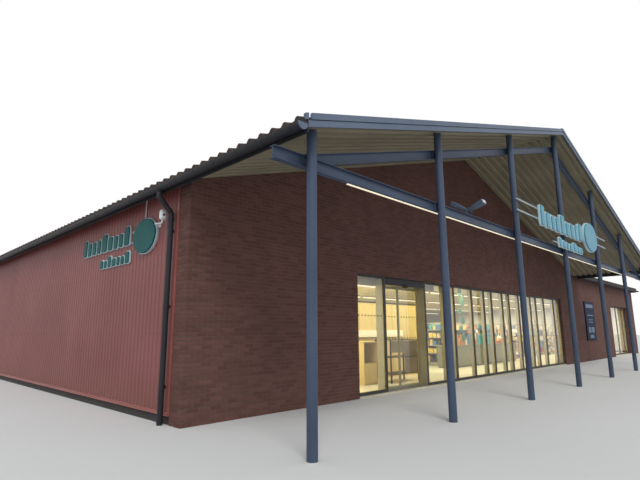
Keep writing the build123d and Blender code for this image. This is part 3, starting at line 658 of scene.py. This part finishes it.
# Opal plastic: an even warm glow
lens = glowing(finish("milky lamp lens", "E6D9BC", "EFE4CA", 300, 8, 0.02, Roughness=0.4,
                      Emission_Strength=0.7))
section = np.column_stack([np.cos(bulge) * lens_half,
                           np.sin(bulge) * lens_deep * 0.7 - lens_deep * 0.3 - tray_deep])
section = np.concatenate([[(-lens_half, -tray_deep)], section, [(lens_half, -tray_deep)]])
section += ((strip_low.y + strip_high.y) / 2, strip_high.z)
add_piece("light_strip_lenses", joined([plate(section, ends, 0) for ends in zip(*lamp_ends)]), lens,
          outward=True, stands_for="light_strip")
trays = boxes(lamp_ends, (strip_low.y, strip_high.y), (strip_high.z - tray_deep, strip_high.z), 0.002, 2, -1)
add_piece("light_strip_trays", trays, steel_paint, stands_for="light_strip")


# Shopfront and window frames
# Thermally broken anodised aluminium sections, with cover caps snapped on the outside and black rubber
# gaskets round every pane of clear float glass. The frames' pale olive grey is painted light from the warm
# hall lamps on their sides, and the caps' near black is painted shade on the front faces.
# Anodised metal has a dull sheen under its film, rubber none, and float glass is quite clear
# The frames' pale olive grey is painted light: the warm hall lamps on their sides
lit_frame_metal = finish("anodised aluminium, pale olive painted light", "9C957A", "A9A287", 500, 3, 0.02, Roughness=0.45,
                     Metallic=0.4)
paint_nodes(lit_frame_metal, *[name for name in nodes if name.endswith("_frame")], "door_header",
            "door_leaf_left", "door_leaf_right")
# The caps' near black is painted shade on the frames' front faces
shaded_cap_metal = finish("anodised cover cap, dark painted shade", "3B3B3D", "454546", 500, 3, 0.02, Roughness=0.45, Metallic=0.4)
rubber = finish("black gasket rubber", "151515", "1E1E1E", 200, 2, 0.05, Roughness=0.7)
glass = finish("clear float glass", "FFFFFF", "F4FAF9", 900, 400, 0.3, Roughness=0.0, IOR=1.45,
               Transmission_Weight=1.0)
paint_nodes(glass, *[name for name in nodes if name.endswith("_glass")])
cap_proud = 0.008
cap_arris = 0.003
gasket = 0.01

for name in ("side_light", "shopfront", "window"):
    frame_low, frame_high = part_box(f"{name}_frame")
    glass_low, glass_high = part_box(f"{name}_glass")
    panes = np.array(sorted({round(v.co.x, 4) for v in nodes[f"{name}_glass"].data.vertices}))
    left, right = panes[::2], panes[1::2]
    edges = np.array([frame_low.x, *panes, frame_high.x])
    face = (frame_low.y - cap_proud, frame_low.y)
    add_piece(f"{name}_cover_caps", joined([boxes(x, face, z, cap_arris) for x, z in (
        ((edges[::2], edges[1::2]), (frame_low.z, frame_high.z)),
        ((left, right), (frame_low.z, glass_low.z)),
        ((left, right), (glass_high.z, frame_high.z)))]), shaded_cap_metal)
    face = (glass_low.y - gasket, glass_low.y)
    add_piece(f"{name}_gaskets", joined([boxes(x, face, z) for x, z in (
        ((left, left + gasket), (glass_low.z, glass_high.z)),
        ((right - gasket, right), (glass_low.z, glass_high.z)),
        ((left + gasket, right - gasket), (glass_low.z, glass_low.z + gasket)),
        ((left + gasket, right - gasket), (glass_high.z - gasket, glass_high.z)))]), rubber)


# Sliding door
# Two slim-framed glass leaves hang from a motor housing behind a dark cover, with a rounded
# sensor under its middle. Rows of small dots on the glass warn people of it.
header_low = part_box("door_header")[0]
floor_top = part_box("floor")[1].z
door_x = (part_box("side_light_frame")[1].x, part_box("shopfront_frame")[0].x)
sensor_half = (0.15, 0.05, 0.055)
dot_radius = 0.025
dot_pitch = 0.13
dot_turn = np.radians(np.arange(0, 360, 45))
dot_levels = (1.38, 1.965)
sill_ends = (header_low.y - 0.02, header_low.y + 0.36)
# Moulded plastic is smooth and dark, the film opaque and matt, brushed metal softly bright
housing = finish("dark moulded door housing", "222224", "2B2B2E", 400, 3, 0.03, Roughness=0.45,
                 Specular_IOR_Level=0.3)
dot_film = finish("dark gold dot film", "4E3D1B", "5E4B24", 200, 2, 0.02, Roughness=0.6,
                  Specular_IOR_Level=0.2)
sill_metal = finish("brushed aluminium threshold", "9A9C9A", "ACAEAB", 300, 2, 0.03, Roughness=0.35,
                    Metallic=0.8)


def soft_box(middle, half, squareness, turns=32, rises=17):
    """A rounded box: a ball whose sines and cosines are raised to a power of at most one, then stretched."""
    turn = np.radians(np.linspace(0, 360, turns + 1))[:-1]
    rise = np.radians(np.linspace(-90, 90, rises))
    bent = lambda wave: np.sign(wave) * np.abs(wave) ** squareness
    level = bent(np.cos(rise))[:, None]
    ball = np.stack([level * bent(np.cos(turn)), level * bent(np.sin(turn)),
                     np.broadcast_to(bent(np.sin(rise))[:, None], (rises, turns))], 2)
    return np.array(middle) + ball * half, grid_faces(rises, turns, round_rows=True)


header_cover = boxes(door_x, (header_low.y - cap_proud, header_low.y), (header_low.z, glazing_head), 0.004)
add_piece("door_header_cover", header_cover, housing)
sensor_middle = (sum(door_x) / 2, header_low.y - 0.01, header_low.z + 0.01)
add_piece("door_sensor", soft_box(sensor_middle, sensor_half, 1, 24, 9), housing,
          smooth=True, outward=True)

for name, node, body, levels in (("side_light_dots", "side_light_glass", "building", dot_levels[1:]),
                                 ("door_left_dots", "door_leaf_left_glass", "door_left", dot_levels),
                                 ("door_right_dots", "door_leaf_right_glass", "door_right", dot_levels)):
    low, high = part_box(node)
    count = int((high.x - low.x - 0.06) / dot_pitch)
    first = (low.x + high.x - (count - 1) * dot_pitch) / 2
    ring = np.column_stack([np.cos(dot_turn), np.sin(dot_turn)]) * dot_radius
    add_piece(name, joined([
        plate(ring + (x, z), (low.y - 0.0015, low.y - 0.0002))
        for z in levels for x in first + np.arange(count) * dot_pitch]), dot_film, body,
        outward=True)
threshold = boxes(door_x, sill_ends, (floor_top, floor_top + 0.006), 0.003, 2, 1)
add_piece("door_threshold", threshold, sill_metal)


# Hall inside
# Pale glazed floor tiles, a cream board ceiling with rows of tubes, a honey timber screen,
# a cabinet, a steel rack, a counter and runs of shelves, all seen through the panes.
# Glazed tiles mirror the lamps softly, mineral boards are matt, and both show their joints
floor_tile = finish("pale glazed floor tile", "CFC8B0", "DDD7C0", 700, 5, 0.05, Roughness=0.28)
ceiling_board = finish("cream mineral ceiling board", "C0B99C", "CEC7AA", 900, 3, 0.3, Roughness=0.85)
for material, node, second, mortar, gap, wide in ((floor_tile, "floor", "F2F0EC", "A8A49A", 0.003, 0.6),
                                                  (ceiling_board, "ceiling", "F6F6F4", "8F8D88", 0.012, 1.2)):
    tree, shader, place, colour = workshop(material)
    squares = add_node(tree, "ShaderNodeTexBrick", {
        "Vector": place, "Color1": linear("FFFFFF"), "Color2": linear(second), "Mortar": linear(mortar),
        "Scale": 1, "Mortar Size": gap, "Brick Width": wide, "Row Height": 0.6}, offset=0)
    squared = add_node(tree, "ShaderNodeMix", {0: 1.0, 6: colour, 7: squares.outputs["Color"]},
                       data_type="RGBA", blend_type="MULTIPLY")
    tree.links.new(squared.outputs[2], shader["Base Color"])
    paint_nodes(material, node)

# Lacquered beech veneer: a yellow ground with fine upright grain
timber = finish("lacquered honey beech", "CDB06A", "DEC582", 900, 3, 0.05, Roughness=0.4)
tree, shader, place, colour = workshop(timber)
stretched = add_node(tree, "ShaderNodeMapping", {"Vector": place, "Scale": (22, 22, 1.2)})
streaks = add_node(tree, "ShaderNodeTexNoise", {"Vector": stretched.outputs[0], "Scale": 2, "Detail": 5})
grained = add_node(tree, "ShaderNodeMix", {
    0: streaks.outputs["Fac"], 6: linear("C2A55C"), 7: linear("DDC686")}, data_type="RGBA")
tree.links.new(grained.outputs[2], shader["Base Color"])
paint_nodes(timber, "entrance_screen", "cabinet")
# Stoved paints and laminate: even plain colours, half matt
rack_paint = finish("dark brown steel paint", "3B302A", "4A3C34", 400, 10, 0.1, Roughness=0.5)
paint_nodes(rack_paint, "display_rack")
shelf_paint = finish("stone enamelled shelf steel", "9A937C", "A8A18A", 700, 20, 0.05, Roughness=0.4)
paint_nodes(shelf_paint, "shelving")
counter_board = finish("olive grey counter laminate", "74745F", "807F69", 700, 20, 0.05, Roughness=0.5)
paint_nodes(counter_board, "counter")

screen_low, screen_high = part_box("entrance_screen")
board_wide = 0.9
joints = np.arange(screen_low.x + board_wide, screen_high.x, board_wide)
add_piece("screen_joints_and_rail", joined([
    boxes(around(joints, 0.004), (screen_low.y - 0.002, screen_low.y + 0.001),
          (screen_low.z + 0.05, screen_high.z - 0.05)),
    boxes((screen_low.x, screen_high.x), (screen_low.y - 0.02, screen_high.y + 0.02),
          (screen_high.z, screen_high.z + 0.04))]), rack_paint)
# A cream enamelled ledge stands out from the timber
ledge_paint = finish("cream enamelled ledge", "F0E6C2", "F7EFD2", 700, 20, 0.05, Roughness=0.4)
ledge = boxes((wall_left_x + 6.5, wall_left_x + 9.95), (screen_low.y - 0.06, screen_low.y - 0.002),
              (1.38, 1.6), 0.004)
add_piece("screen_ledge", ledge, ledge_paint)

# Fluorescent tubes in white trays hang from the ceiling on thin rods
tube_glow = glowing(finish("warm white lamp tube", "FFF2D0", "FFF7E0", 300, 8, 0.02, Roughness=0.3,
                           Emission_Strength=1.0))
ceiling_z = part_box("ceiling")[0].z
tube_rows = np.array([2.0, 5.3, 9.3, 13.8, 18.8]) + front_y
tube_length = 2.4
tube_z = ceiling_z - 0.28
tray_top = tube_z + 0.08
tube_starts = np.arange(wall_left_x + 1.0, wall_right_x - 2.8, tube_length + 0.2)
x, row = [grid.ravel() for grid in np.meshgrid(tube_starts, tube_rows)]
rods = np.concatenate([x + 0.3, x + tube_length - 0.3])
add_piece("lamp_trays", joined([
    boxes((x, x + tube_length), around(row, 0.06), (tube_z + 0.03, tray_top)),
    boxes(around(rods, 0.004), around(np.tile(row, 2), 0.004), (tray_top, ceiling_z))]), shelf_paint)
tubes = boxes((x + 0.02, x + tube_length - 0.02), around(row, 0.035), (tube_z, tube_z + 0.03), 0.012, 2, -1)
add_piece("lamp_tubes", tubes, tube_glow)

# Cartons, jars and bags in plain colours: each pack is one tone and a little shiny
goods_paint = finish("plain printed packs", "FFFFFF", "E8E8E8", 300, 6, 0.1, Roughness=0.4)
tree, shader, place, colour = workshop(goods_paint)
pack_colour = add_node(tree, "ShaderNodeAttribute", attribute_name="pack_colour")
packed = add_node(tree, "ShaderNodeMix", {0: 1.0, 6: colour, 7: pack_colour.outputs["Color"]},
                  data_type="RGBA", blend_type="MULTIPLY")
tree.links.new(packed.outputs[2], shader["Base Color"])
pack_tones = np.array([linear(code) for code in (
    "E8E3D6", "CFC3A0", "3A3A34", "54523F", "F0EEE8", "D6BE82", "C77F3F", "8A8468", "B4503C", "4C7FA6",
    "D9C25A", "4E9A94")])
draw = np.random.default_rng(7)


def add_goods(name, x, y, z):
    """Packs as boxes, each with one tone drawn from the list and stored per point."""
    shape = boxes(x, y, z, 0.006, 2, 1)
    made = add_piece(name, shape, goods_paint)
    tones = pack_tones[draw.integers(len(pack_tones), size=len(shape[0]) // 8)]
    layer = made.data.color_attributes.new("pack_colour", "FLOAT_COLOR", "POINT")
    layer.data.foreach_set("color", np.repeat(tones, 8, axis=0).ravel())


shelf_low, shelf_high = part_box("shelving")
shelf_levels = np.array([0.16, 0.56, 0.90, 1.24, 1.58]) + floor_top
shelf_room = np.array([0.34, 0.28, 0.28, 0.28, 0.3])
run_half = 0.45
run_middles = np.linspace(shelf_low.x + run_half, shelf_high.x - run_half, 8)
pack_pitch = 0.19
slots = np.arange(shelf_low.y + 0.05, shelf_high.y - pack_pitch, pack_pitch)
middle, side, level, slot_y = [grid.ravel() for grid in np.meshgrid(
    run_middles, (-1, 1), np.arange(len(shelf_levels)), slots, indexing="ij")]
filled = draw.random(len(middle)) < 0.93
middle, side, level, slot_y = middle[filled], side[filled], level[filled].astype(int), slot_y[filled]
wide = draw.uniform(0.12, 0.18, len(middle))
tall = shelf_room[level] * draw.uniform(0.55, 0.95, len(middle))
deep_in = draw.uniform(0.25, 0.36, len(middle))
near = middle + side * (run_half - 0.03)
far = near - side * deep_in
add_goods("goods_on_shelves", (np.minimum(near, far), np.maximum(near, far)), (slot_y, slot_y + wide),
          (shelf_levels[level], shelf_levels[level] + tall))

middle, level, slot = [grid.ravel() for grid in np.meshgrid(
    run_middles, np.arange(9), np.arange(-3, 4), indexing="ij")]
bottom = floor_top + 0.02 + level * 0.2
add_goods("goods_at_run_ends", around(middle + slot * 0.12, 0.052), (shelf_low.y - 0.26, shelf_low.y - 0.02),
          (bottom, bottom + draw.uniform(0.13, 0.185, len(middle))))

counter_low, counter_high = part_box("counter")
count = 26
x = np.sort(draw.uniform(counter_low.x + 0.2, counter_high.x - 0.5, count))
wide, deep, tall = [draw.uniform(0.1, most, count) for most in (0.35, 0.3, 0.45)]
y = draw.uniform(counter_low.y + 0.05, counter_high.y - 0.35, count)
add_goods("goods_on_counter", (x, x + wide), (y, y + deep), (counter_high.z, counter_high.z + tall))

rack_low, rack_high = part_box("display_rack")
rack_board = finish("grey brown rack board", "86755C", "948269", 500, 8, 0.1, Roughness=0.6)
add_piece("rack_boards", joined([
    boxes((rack_low.x + 0.02, rack_high.x - 0.02), (rack_low.y - 0.012, rack_low.y), (0.93, 1.28), 0.003),
    boxes((rack_low.x + 0.75, rack_high.x - 0.06), (rack_low.y + 0.02, rack_low.y + 0.032),
          (0.3, 0.93), 0.003)]), rack_board)

# Round paper discs in two greens hang on thin wires behind the fourth pane: x, height, radius
# Sponged paint on paper: one disc drifts between both greens, quite matt
disc_paper = finish("painted paper disc", "3F8468", "8FBF9C", 90, 3, 0.05, Roughness=0.7)
disc_turn = np.radians(np.arange(0, 360, 20))
disc_y = front_y + 1.0
parts = []
for x, z, radius in ((11.72, 2.95, 0.15), (11.86, 2.62, 0.17), (11.66, 2.28, 0.12), (11.84, 1.95, 0.15),
                     (11.68, 1.64, 0.12), (11.80, 1.32, 0.16)):
    ring = np.column_stack([np.cos(disc_turn), np.sin(disc_turn)]) * radius
    parts.append(plate(ring + (wall_left_x + x, z), around(disc_y, 0.004)))
for x, lowest in ((11.84, 1.45), (11.68, 1.7)):
    parts.append(boxes(around(wall_left_x + x, 0.002), (disc_y + 0.004, disc_y + 0.008), (lowest, ceiling_z)))
add_piece("hung_discs", joined(parts), disc_paper, outward=True)

cabinet_low, cabinet_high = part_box("cabinet")
door_top_z = (cabinet_low.z + cabinet_high.z) / 2 - 0.01
add_piece("cabinet_door_and_top", joined([
    boxes((cabinet_low.x + 0.03, cabinet_high.x - 0.03), (cabinet_low.y - 0.018, cabinet_low.y),
          (cabinet_low.z + 0.06, door_top_z), 0.004),
    boxes((cabinet_low.x - 0.015, cabinet_high.x + 0.015), (cabinet_low.y - 0.02, cabinet_high.y + 0.02),
          (cabinet_high.z, cabinet_high.z + 0.03), 0.004)]), timber)


# Signs
# Each sign is a row of raised plates beside a round disc, on two rails across the porch and on
# two rails on the left wall. A shape is a pale backing plate with a coloured face on it.
# Stove enamel: a flat even colour, with a thin pale rim where the backing plate shows
sign_face = finish("pale teal sign enamel", "4F8CA0", "5E9BAE", 500, 20, 0.05, Roughness=0.4,
                   Specular_IOR_Level=0.2)
sign_edge = finish("white lit sign edge", "B9D2DA", "C6DDE3", 500, 20, 0.05, Roughness=0.4)
green_face = finish("deep green sign enamel", "0B4A4A", "125757", 500, 20, 0.05, Roughness=0.5,
                    Specular_IOR_Level=0.15)
green_edge = finish("pale sign edge", "A9BDC2", "B9CBCF", 500, 20, 0.05, Roughness=0.4)
rail_paint = finish("pale grey rail paint", "7E8B96", "8D99A3", 400, 20, 0.05, Roughness=0.4)
paint_nodes(rail_paint, "sign_rails")
rail_front_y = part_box("sign_rails")[0].y
backing_margin = 0.018
backing_arris = 0.004
face_arris = 0.008
corner_steps = np.radians(np.linspace(0, 90, 5))
emblem_turn = np.radians(np.arange(0, 360, 12))


def rounded_outlines(middle, half, radius):
    """Rounded rectangles: four quarter arcs round each middle, as (shape, point, 2) arrays."""
    middle, half = np.atleast_2d(middle), np.atleast_2d(half)
    quarter = np.concatenate([corner_steps + np.pi / 2 * k for k in range(4)])
    signs = np.repeat([(1, 1), (-1, 1), (-1, -1), (1, -1)], len(corner_steps), axis=0)
    arc = np.column_stack([np.cos(quarter), np.sin(quarter)]) * radius
    return middle[:, None] + signs * (half[:, None] - radius) + arc


def grown(outlines, margin):
    """Outlines scaled from their middles, so that the furthest side moves out by a margin."""
    middle = outlines.mean(1, keepdims=True)
    reach = np.abs(outlines - middle).max(1, keepdims=True)
    return middle + (outlines - middle) * (1 + margin / reach)


def raised_shapes(outlines, start, depth, arris):
    """Each outline as a closed plate: a back ring, a front ring and a smaller front ring for the arris.

    Points are (across, depth, up), with depth running from the carrier towards the viewer.
    """
    rings = []
    for ring, out in ((outlines, start), (outlines, depth - arris), (grown(outlines, -arris), depth)):
        rings.append(np.insert(ring, 1, out, 2))
    return joined([(shape, shell_faces(3, outlines.shape[1])) for shape in np.stack(rings, 1)])


def blank_row(left, right, bottom, top, count, gap):
    """A row of blank upright plates of uneven width and height between two ends."""
    widths = draw.uniform(0.75, 1.25, count)
    widths *= (right - left - gap * (count - 1)) / widths.sum()
    tall = (top - bottom) * np.where(np.arange(count) % 4 == 0, 1, draw.uniform(0.68, 0.8, count))
    start = left + np.concatenate([[0], np.cumsum(widths + gap)[:-1]])
    middle = np.stack([start + widths / 2, bottom + tall / 2], 1)
    half = np.stack([widths / 2, tall / 2], 1)
    return rounded_outlines(middle, half, min(0.05, (top - bottom) / 5))


def disc(middle, half):
    """An oval outline round a middle."""
    ring = np.column_stack([np.cos(emblem_turn) * half[0], np.sin(emblem_turn) * half[1]])
    return (np.array(middle) + ring)[None]


def on_porch(points, faces):
    """A sign on the front of the rails: across along +X, depth towards -Y."""
    return points * (1, -1, 1) + (wall_left_x, rail_front_y, 0), faces


def on_left_wall(points, faces):
    """A sign on the left wall: across towards +Y from the front corner, depth towards -X."""
    return points[:, [1, 0, 2]] * (-1, 1, 1) + (wall_left_x - rib_depth, front_y, 0), faces


def add_sign(name, outlines, put_up, depth, face_paint, edge_paint):
    """A raised shape in two parts: a pale backing a little larger, and the coloured face on it."""
    step = depth * 0.6
    backing = raised_shapes(grown(outlines, backing_margin), 0.0, step, backing_arris)
    add_piece(f"{name}_edge", put_up(*backing), edge_paint, outward=True)
    face = raised_shapes(outlines, step, depth, face_arris)
    add_piece(f"{name}_face", put_up(*face), face_paint, outward=True)


for name, outlines, depth in (
        ("porch_sign_word", blank_row(8.5, 12.0, 4.32, 4.86, 9, 0.17), 0.09),
        ("porch_sign_line", blank_row(9.85, 11.95, 3.91, 4.17, 7, 0.12), 0.07),
        ("porch_sign_emblem", disc((12.92, 4.58), (0.66, 0.48)), 0.11)):
    add_sign(name, outlines, on_porch, depth, sign_face, sign_edge)
clamp_foot = rail_front_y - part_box("post_4")[0].y - 0.004
short_rail = joined([boxes((9.5, 12.1), (0, -0.03), (4.0, 4.04)),
                     boxes(around(post_axes[3] - wall_left_x, 0.05), (clamp_foot, -0.03), (3.98, 4.06))])
add_piece("porch_sign_short_rail", on_porch(*short_rail), rail_paint, outward=True)

for name, outlines, depth in (
        ("side_sign_word", blank_row(2.4, 5.0, 3.42, 3.83, 9, 0.1), 0.06),
        ("side_sign_line", blank_row(2.36, 3.9, 3.03, 3.28, 7, 0.07), 0.05),
        ("side_sign_emblem", disc((1.645, 3.50), (0.48, 0.355)), 0.08)):
    add_sign(name, outlines, on_left_wall, depth, green_face, green_edge)
side_rails = boxes((1.2, 4.9), (-0.01, 0.004), around(np.array([3.45, 3.68]), 0.02))
add_piece("side_sign_rails", on_left_wall(*side_rails), rail_paint, outward=True)


# Floodlights
# Two slim cast lamp heads stand back to back in a V on a bracket bolted to the tie beam, each
# with a pale glass in its front end.
# Powder-coated casting with a fine bumpy skin, behind pale frosted glass
lamp_cast = finish("grey cast lamp housing", "4E5A6C", "5B677A", 200, 5, 0.2, Roughness=0.5,
                   Specular_IOR_Level=0.3)
lamp_glass = finish("pale lamp glass", "AEB9C4", "C3CCD4", 200, 5, 0.02, Roughness=0.3)
lamp_x, lamp_y, lamp_z = wall_left_x + 4.94, front_y - 2.9, tie_high.z
lamp_foot = (lamp_x, lamp_y, lamp_z + 0.1)
lamp_tips = ((lamp_x, lamp_y - 0.37, lamp_z + 0.23), (lamp_x, lamp_y + 0.36, lamp_z + 0.32))
head_halves = ((0.035, 0.02), (0.05, 0.03), (0.075, 0.045), (0.085, 0.055), (0.08, 0.05))


def lamp_head(tip, stations, halves, radius):
    """Rounded rectangles of growing size along a line from the foot to a tip, closed at both ends."""
    foot, tip = np.array(lamp_foot), np.array(tip)
    across = np.array([1.0, 0, 0])
    up = np.cross(across, tip - foot)
    up /= np.linalg.norm(up)
    outlines = np.concatenate([rounded_outlines((0, 0), half, radius) for half in halves])
    centre = foot + np.array(stations)[:, None] * (tip - foot)
    points = centre[:, None] + outlines[..., :1] * across + outlines[..., 1:] * up
    return points, shell_faces(len(halves), outlines.shape[1])


bracket = [
    boxes(around(lamp_x, 0.1), (tie_low.y + 0.01, tie_high.y - 0.01), (lamp_z, lamp_z + 0.008)),
    boxes(around(lamp_x + np.array([-0.096, 0.096]), 0.004), around(lamp_y, 0.025), (lamp_z, lamp_z + 0.13)),
    boxes(around(lamp_x, 0.1), around(lamp_y, 0.01), (lamp_z + 0.09, lamp_z + 0.11))]
heads = [lamp_head(tip, (0.03, 0.12, 0.5, 0.97, 1.0), head_halves, 0.018) for tip in lamp_tips]
glasses = [lamp_head(tip, (0.98, 1.012), ((0.068, 0.038), (0.068, 0.038)), 0.012) for tip in lamp_tips]
for name, parts, material in (("floodlight_heads", heads + bracket, lamp_cast),
                              ("floodlight_glasses", glasses, lamp_glass)):
    add_piece(name, joined(parts), material, outward=True, stands_for="floodlights")


# Wall camera
# A white moulded camera stands on the upturned end of a bent round arm, which is bolted to the
# left wall by a small plate.
# Moulded plastic: clean white, a little shiny
camera_shell = finish("white camera shell", "CDD0D2", "DCDFE0", 200, 4, 0.05, Roughness=0.4)
camera_x = wall_left_x - 0.18
camera_y = front_y + 0.69
camera_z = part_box("wall_camera")[1].z + 0.005
bar_turn = np.radians(np.arange(0, 360, 30))
arm_radius = 0.016
arm_path = [(wall_left_x, front_y + 1.12, 3.65), (camera_x + 0.09, front_y + 1.11, 3.648),
            (camera_x + 0.04, front_y + 1.05, 3.64), (camera_x, front_y + 0.76, 3.602),
            (camera_x, front_y + 0.71, 3.605), (camera_x, camera_y, 3.63), (camera_x, camera_y, camera_z)]


def round_bar(path, radius):
    """A round bar along a bent line: at each bend a ring square to the mean of the two directions."""
    path = np.array(path, float)
    step = np.diff(path, axis=0)
    step /= np.linalg.norm(step, axis=1)[:, None]
    lean = np.concatenate([step[:1], step[:-1] + step[1:], step[-1:]])
    lean /= np.linalg.norm(lean, axis=1)[:, None]
    side = np.cross(lean, (0.35, 0.62, 0.7))
    side /= np.linalg.norm(side, axis=1)[:, None]
    up = np.cross(side, lean)
    ring = np.cos(bar_turn)[:, None] * side[:, None] + np.sin(bar_turn)[:, None] * up[:, None]
    return path[:, None] + ring * radius, shell_faces(len(path), len(bar_turn))


wall_plate = boxes((wall_left_x - rib_depth - 0.012, wall_left_x), (front_y + 1.08, front_y + 1.16),
                   (3.6, 3.7), 0.004, 0)
body = joined([soft_box((camera_x, camera_y, camera_z), (0.052, 0.055, 0.095), 0.45),
               round_bar(arm_path, arm_radius), wall_plate])
lens_ring = round_bar([(camera_x - 0.005, camera_y - 0.045, camera_z - 0.01),
                       (camera_x - 0.006, camera_y - 0.062, camera_z - 0.012)], 0.022)
for name, shape, material in (("wall_camera_body", body, camera_shell),
                              ("wall_camera_lens", lens_ring, housing)):
    add_piece(name, shape, material, outward=True, stands_for="wall_camera")


# Notice board and conduit
# A dark navy sheet on the brickwork with plain pale bands of film, each given by its left,
# right, low and high edges as shares of the board. A thin white conduit on the left wall
# brings the side sign's supply down from the eave.
# Matt laminated sheet: near black, with no glare
board_coat = finish("dark navy board sheet", "141F33", "1B2942", 500, 8, 0.05, Roughness=0.6,
                    Specular_IOR_Level=0.1)
paint_nodes(board_coat, "notice_board")
band_film = finish("pale board band", "5A6A82", "6A7A92", 200, 8, 0.02, Roughness=0.5, Specular_IOR_Level=0.2)
board_low, board_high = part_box("notice_board")
wide, tall = board_high.x - board_low.x, board_high.z - board_low.z
bands = np.array([
    (0.12, 0.88, 0.84, 0.93), (0.2, 0.8, 0.63, 0.66), (0.25, 0.75, 0.52, 0.54), (0.25, 0.75, 0.46, 0.48),
    (0.18, 0.46, 0.2, 0.34), (0.54, 0.82, 0.2, 0.34), (0.3, 0.7, 0.06, 0.14)]).T
add_piece("notice_board_bands", boxes(
    board_low.x + bands[:2] * wide, (board_low.y - 0.003, board_low.y + 0.001),
    board_low.z + bands[2:] * tall), band_film)

tube_radius = 0.012
tube_x = wall_left_x - rib_depth - tube_radius
conduit = round_bar([(tube_x, front_y + 1.73, z) for z in (3.8, sheet_high - 0.03)], tube_radius)
add_piece("sign_cable_tube", conduit, camera_shell, outward=True)


# Studio
# A pale floor under an even white surround, one soft key lamp, warm lamps inside the hall
# and the photograph's viewpoint: eye height 1.6 m, 7.4 m in front of the wall.
eye = Vector((wall_left_x - 4.238, front_y - 7.4195, 1.5776))
yaw, pitch, roll = np.radians((44.322, 11.043, -0.305))
focal_pixels = 467.5
frame_pixels = 640
film_width = 36
forward = Vector((np.cos(yaw) * np.cos(pitch), np.sin(yaw) * np.cos(pitch), np.sin(pitch)))
level_right = Vector((np.sin(yaw), -np.cos(yaw), 0))
level_up = level_right.cross(forward)
right = level_right * np.cos(roll) + level_up * np.sin(roll)
up = level_up * np.cos(roll) - level_right * np.sin(roll)
camera_data = bpy.data.cameras.new("camera")
camera_data.sensor_width = film_width
camera_data.lens = focal_pixels / frame_pixels * film_width
camera_data.clip_end = 500
camera = add_object("camera", camera_data)
camera.matrix_world = Matrix.Translation(eye) @ Matrix((right, up, -forward)).transposed().to_4x4()
bpy.context.scene.camera = camera

ground_half = 150
ground_paint = finish("pale studio floor", "CFCFCD", "D6D6D4", 9000, 900, 0.1, Roughness=0.9)
ground_mesh = bpy.data.meshes.new("studio_floor")
corners = [(x * ground_half, y * ground_half, 0) for x, y in ((-1, -1), (1, -1), (1, 1), (-1, 1))]
ground_mesh.from_pydata(corners, [], [(0, 1, 2, 3)])
ground_mesh.materials.append(ground_paint)
add_object("studio_floor", ground_mesh)

world = bpy.data.worlds.new("studio")
bpy.context.scene.world = world
world.use_nodes = True
tree = world.node_tree
soft_light = tree.nodes["Background"]
soft_light.inputs["Color"].default_value = (0.92, 0.96, 1, 1)
soft_light.inputs["Strength"].default_value = 0.7
white = add_node(tree, "ShaderNodeBackground", {"Color": (1, 1, 1, 1), "Strength": 1.0})
rays = add_node(tree, "ShaderNodeLightPath").outputs
seen = rays["Is Camera Ray"]
for further in ("Is Glossy Ray", "Is Transmission Ray"):
    seen = add_node(tree, "ShaderNodeMath", {0: seen, 1: rays[further]}, operation="MAXIMUM").outputs[0]
surround = add_node(tree, "ShaderNodeMixShader", {0: seen, 1: soft_light.outputs[0], 2: white.outputs[0]})
tree.links.new(surround.outputs[0], tree.nodes["World Output"].inputs["Surface"])

key_light = bpy.data.lights.new("key", "SUN")
key_light.energy = 1.5
key_light.angle = np.radians(25)
key = add_object("key", key_light)
key.rotation_euler = Vector((0.55, 0.75, -0.95)).to_track_quat("-Z", "Y").to_euler()

# Warm lamps under the ceiling: distance behind the front, depth of the lamp and its power
for number, (back, deep, watts) in enumerate(((1.3, 1.6, 780), (3.1, 0.8, 700), (8.5, 8, 3000))):
    hall_light = bpy.data.lights.new(f"hall_{number}", "AREA")
    hall_light.shape = "RECTANGLE"
    hall_light.size = wall_right_x - wall_left_x - 2
    hall_light.size_y = deep
    hall_light.energy = watts
    hall_light.color = (1.0, 0.92, 0.66)
    lamp = add_object(f"hall_{number}", hall_light)
    lamp.location = (0, front_y + back, ceiling_z - 0.32)
    lamp.visible_camera = lamp.visible_glossy = lamp.visible_transmission = False

bpy.context.scene.view_settings.view_transform = "Standard"
